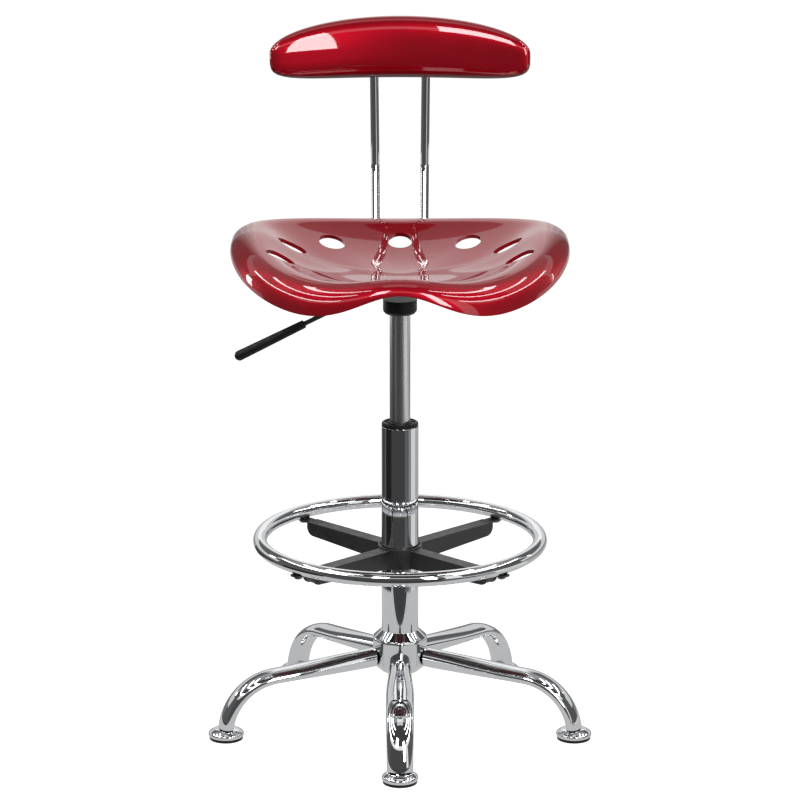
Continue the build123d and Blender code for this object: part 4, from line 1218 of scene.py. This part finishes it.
def card(name, corners, brightness, faces=((0, 1, 2, 3),)):
    """A card that only shows in polished surfaces."""
    mesh = bpy.data.meshes.new(name)
    mesh.from_pydata(corners, [], faces)
    panel = place(name, mesh)
    for flag in ("camera", "diffuse", "transmission", "volume_scatter", "shadow"):
        setattr(panel, "visible_" + flag, False)
    material, _, shader = finish_start(name)
    set_sockets(shader, {"Base Color": BLACK, "Specular IOR Level": 0.0})
    set_sockets(shader, {"Emission Color": WHITE, "Emission Strength": brightness})
    mesh.materials.append(material)


def level_corners(left, right, front, rear, height):
    return [(left, front, height), (right, front, height), (right, rear, height), (left, rear, height)]


def roof_card(name, front, rear, brightness, left=-ROOM_REACH, right=ROOM_REACH):
    """A level card overhead."""
    card(name, level_corners(left, right, front, rear, ROOF_HEIGHT), brightness)


def flag_card(name, left, right, brightness):
    """An upright card behind the stool, to one side."""
    edges = (left, FLAG_LOW), (right, FLAG_LOW), (right, FLAG_HIGH), (left, FLAG_HIGH)
    card(name, [(across, FLAG_DEPTH, height) for across, height in edges], brightness)


def arc_card(name, start, end, inner, outer, brightness, steps=24):
    """A curved strip from one azimuth to another, between two (radius, height) edges."""
    corners = []
    for step in range(steps + 1):
        azimuth = start + (end - start) * step / steps
        corners += [studio_spot(azimuth, 0.0, radius, height) for radius, height in (inner, outer)]
    faces = [(2 * step, 2 * step + 1, 2 * step + 3, 2 * step + 2) for step in range(steps)]
    card(name, corners, brightness, faces)


def seen_rays(tree):
    """1 for rays from the camera and from polished or clear surfaces."""
    path = add_node(tree, "ShaderNodeLightPath")
    seen = path.outputs["Is Camera Ray"]
    for ray in ("Is Glossy Ray", "Is Transmission Ray"):
        either = add_node(tree, "ShaderNodeMath", operation="MAXIMUM")
        tree.links.new(seen, either.inputs[0])
        tree.links.new(path.outputs[ray], either.inputs[1])
        seen = either.outputs[0]
    return seen


class STOOL_OT_stage(bpy.types.Operator):
    """Set the camera, the pale floor and the studio light"""

    bl_idname = "stool.stage"
    bl_label = "Stage"

    def execute(self, context):
        studio = context.scene.stool_studio
        data = bpy.data.cameras.new("studio_camera")
        data.lens = studio.lens
        data.sensor_width = 36.0
        camera = place("studio_camera", data)
        camera.location = (0.0, -studio.camera_distance, studio.camera_height)
        camera.rotation_euler = (math.pi / 2 - studio.camera_pitch, 0.0, 0.0)
        context.scene.camera = camera
        context.scene.view_settings.view_transform = "Standard"
        self.world(context, studio)
        self.floor(studio)
        for lamp in LAMPS:
            softbox(*lamp)
        self.cards(studio)
        return {"FINISHED"}

    def world(self, context, studio):
        world = bpy.data.worlds.new("pale_room")
        world.use_nodes = True
        context.scene.world = world
        tree = world.node_tree
        back = tree.nodes["Background"]
        back.inputs["Color"].default_value = WHITE
        strength = span(tree, seen_rays(tree), studio.ambient, 1.0, 0.0, 1.0)
        tree.links.new(strength, back.inputs["Strength"])

    def floor(self, studio):
        mesh = bpy.data.meshes.new("studio_floor")
        corners = level_corners(-FLOOR_REACH, FLOOR_REACH, -FLOOR_REACH, FLOOR_REACH, 0.0)
        mesh.from_pydata(corners, [], [(0, 1, 2, 3)])
        ground = place("studio_floor", mesh)
        material, tree, shader = finish_start("pale_floor")
        set_sockets(shader, {"Base Color": (*studio.floor, 1.0), "Emission Color": WHITE})
        set_sockets(shader, {"Roughness": 0.9, "Specular IOR Level": 0.0})
        glow = span(tree, seen_rays(tree), 0.0, studio.glow, 0.0, 1.0)
        tree.links.new(glow, shader.inputs["Emission Strength"])
        mesh.materials.append(material)

    def cards(self, studio):
        """The floor and the room as the polished pieces show them, and three thin lines of light."""
        far, level = ROOM_REACH, 1 * MM
        card("front_floor", level_corners(-far, far, -far, -studio.floor_edge, 2 * level), studio.room)
        arc_card("near_floor", -180.0, 180.0, (0.0, level), (far, level), studio.sheet)
        for name, start, end, inner, outer, brightness in FLOOR_CARDS:
            arc_card(name, start, end, (inner, 3 * level), (outer, 3 * level), brightness)
        for name, start, end, low, high, brightness in WALL_CARDS:
            arc_card(name, start, end, (far, low), (far, high), brightness)
        roof_card("front_roof", -far, ROOF_FRONT, studio.room)
        roof_card("rear_roof", ROOF_FRONT, ROOF_MIDDLE, studio.roof)
        roof_card("left_roof", ROOF_MIDDLE, far, studio.roof, right=-ROOF_GAP)
        roof_card("right_roof", ROOF_MIDDLE, far, studio.roof, left=ROOF_GAP)
        edges = (BACKDROP_RADIUS, BACKDROP_LOW), (BACKDROP_RADIUS, BACKDROP_HIGH)
        arc_card("ring_backdrop", BACKDROP_START, BACKDROP_END, *edges, studio.backdrop)
        for index, (near, away, brightness) in enumerate(FLAG_STRIPS):
            flag_card(f"left_flag_{index}", -away, -near, brightness)
            flag_card(f"right_flag_{index}", near, away, brightness)
        for elevation in LINE_ELEVATIONS:
            spots = []
            for turn in (math.radians(elevation + off) for off in (-LINE_HALF, LINE_HALF)):
                spots.append((LINE_RADIUS * math.cos(turn), LINE_CENTRE + LINE_RADIUS * math.sin(turn)))
            for side, word in ((-1, "left"), (1, "right")):
                name = f"{word}_line_{elevation:.0f}"
                arc_card(name, side * LINE_START, side * LINE_END, *spots, studio.line)


PIECE_OPERATORS = (
    STOOL_OT_seat,
    STOOL_OT_backrest,
    STOOL_OT_posts,
    STOOL_OT_lift,
    STOOL_OT_column,
    STOOL_OT_lever,
    STOOL_OT_foot_ring,
    STOOL_OT_ring_arms,
    STOOL_OT_legs,
    STOOL_OT_hub,
    STOOL_OT_glides,
    STOOL_OT_carried,
)
SIZE_GROUPS = {
    "seat": StoolSeatSizes,
    "back": StoolBackSizes,
    "lever": StoolLeverSizes,
    "base": StoolBaseSizes,
    "finish": StoolFinish,
    "studio": StoolStudio,
}


class STOOL_PT_panel(bpy.types.Panel):
    """Lists the steps that build the stool"""

    bl_idname = "STOOL_PT_panel"
    bl_label = "Drafting stool"
    bl_space_type = "VIEW_3D"
    bl_region_type = "UI"
    bl_category = "Stool"

    def draw(self, context):
        self.layout.operator(STOOL_OT_stage.bl_idname)
        for step in PIECE_OPERATORS:
            self.layout.operator(step.bl_idname)


CLASSES = (*SIZE_GROUPS.values(), STOOL_OT_stage, *PIECE_OPERATORS, STOOL_PT_panel)


def register():
    for entry in CLASSES:
        bpy.utils.register_class(entry)
    for name, group in SIZE_GROUPS.items():
        setattr(bpy.types.Scene, "stool_" + name, bpy.props.PointerProperty(type=group))


def unregister():
    for name in SIZE_GROUPS:
        delattr(bpy.types.Scene, "stool_" + name)
    for entry in reversed(CLASSES):
        bpy.utils.unregister_class(entry)


def main():
    register()
    bpy.ops.stool.stage()
    for step in PIECE_OPERATORS:
        family, name = step.bl_idname.split(".")
        getattr(getattr(bpy.ops, family), name)()


if __name__ == "__main__":
    main()
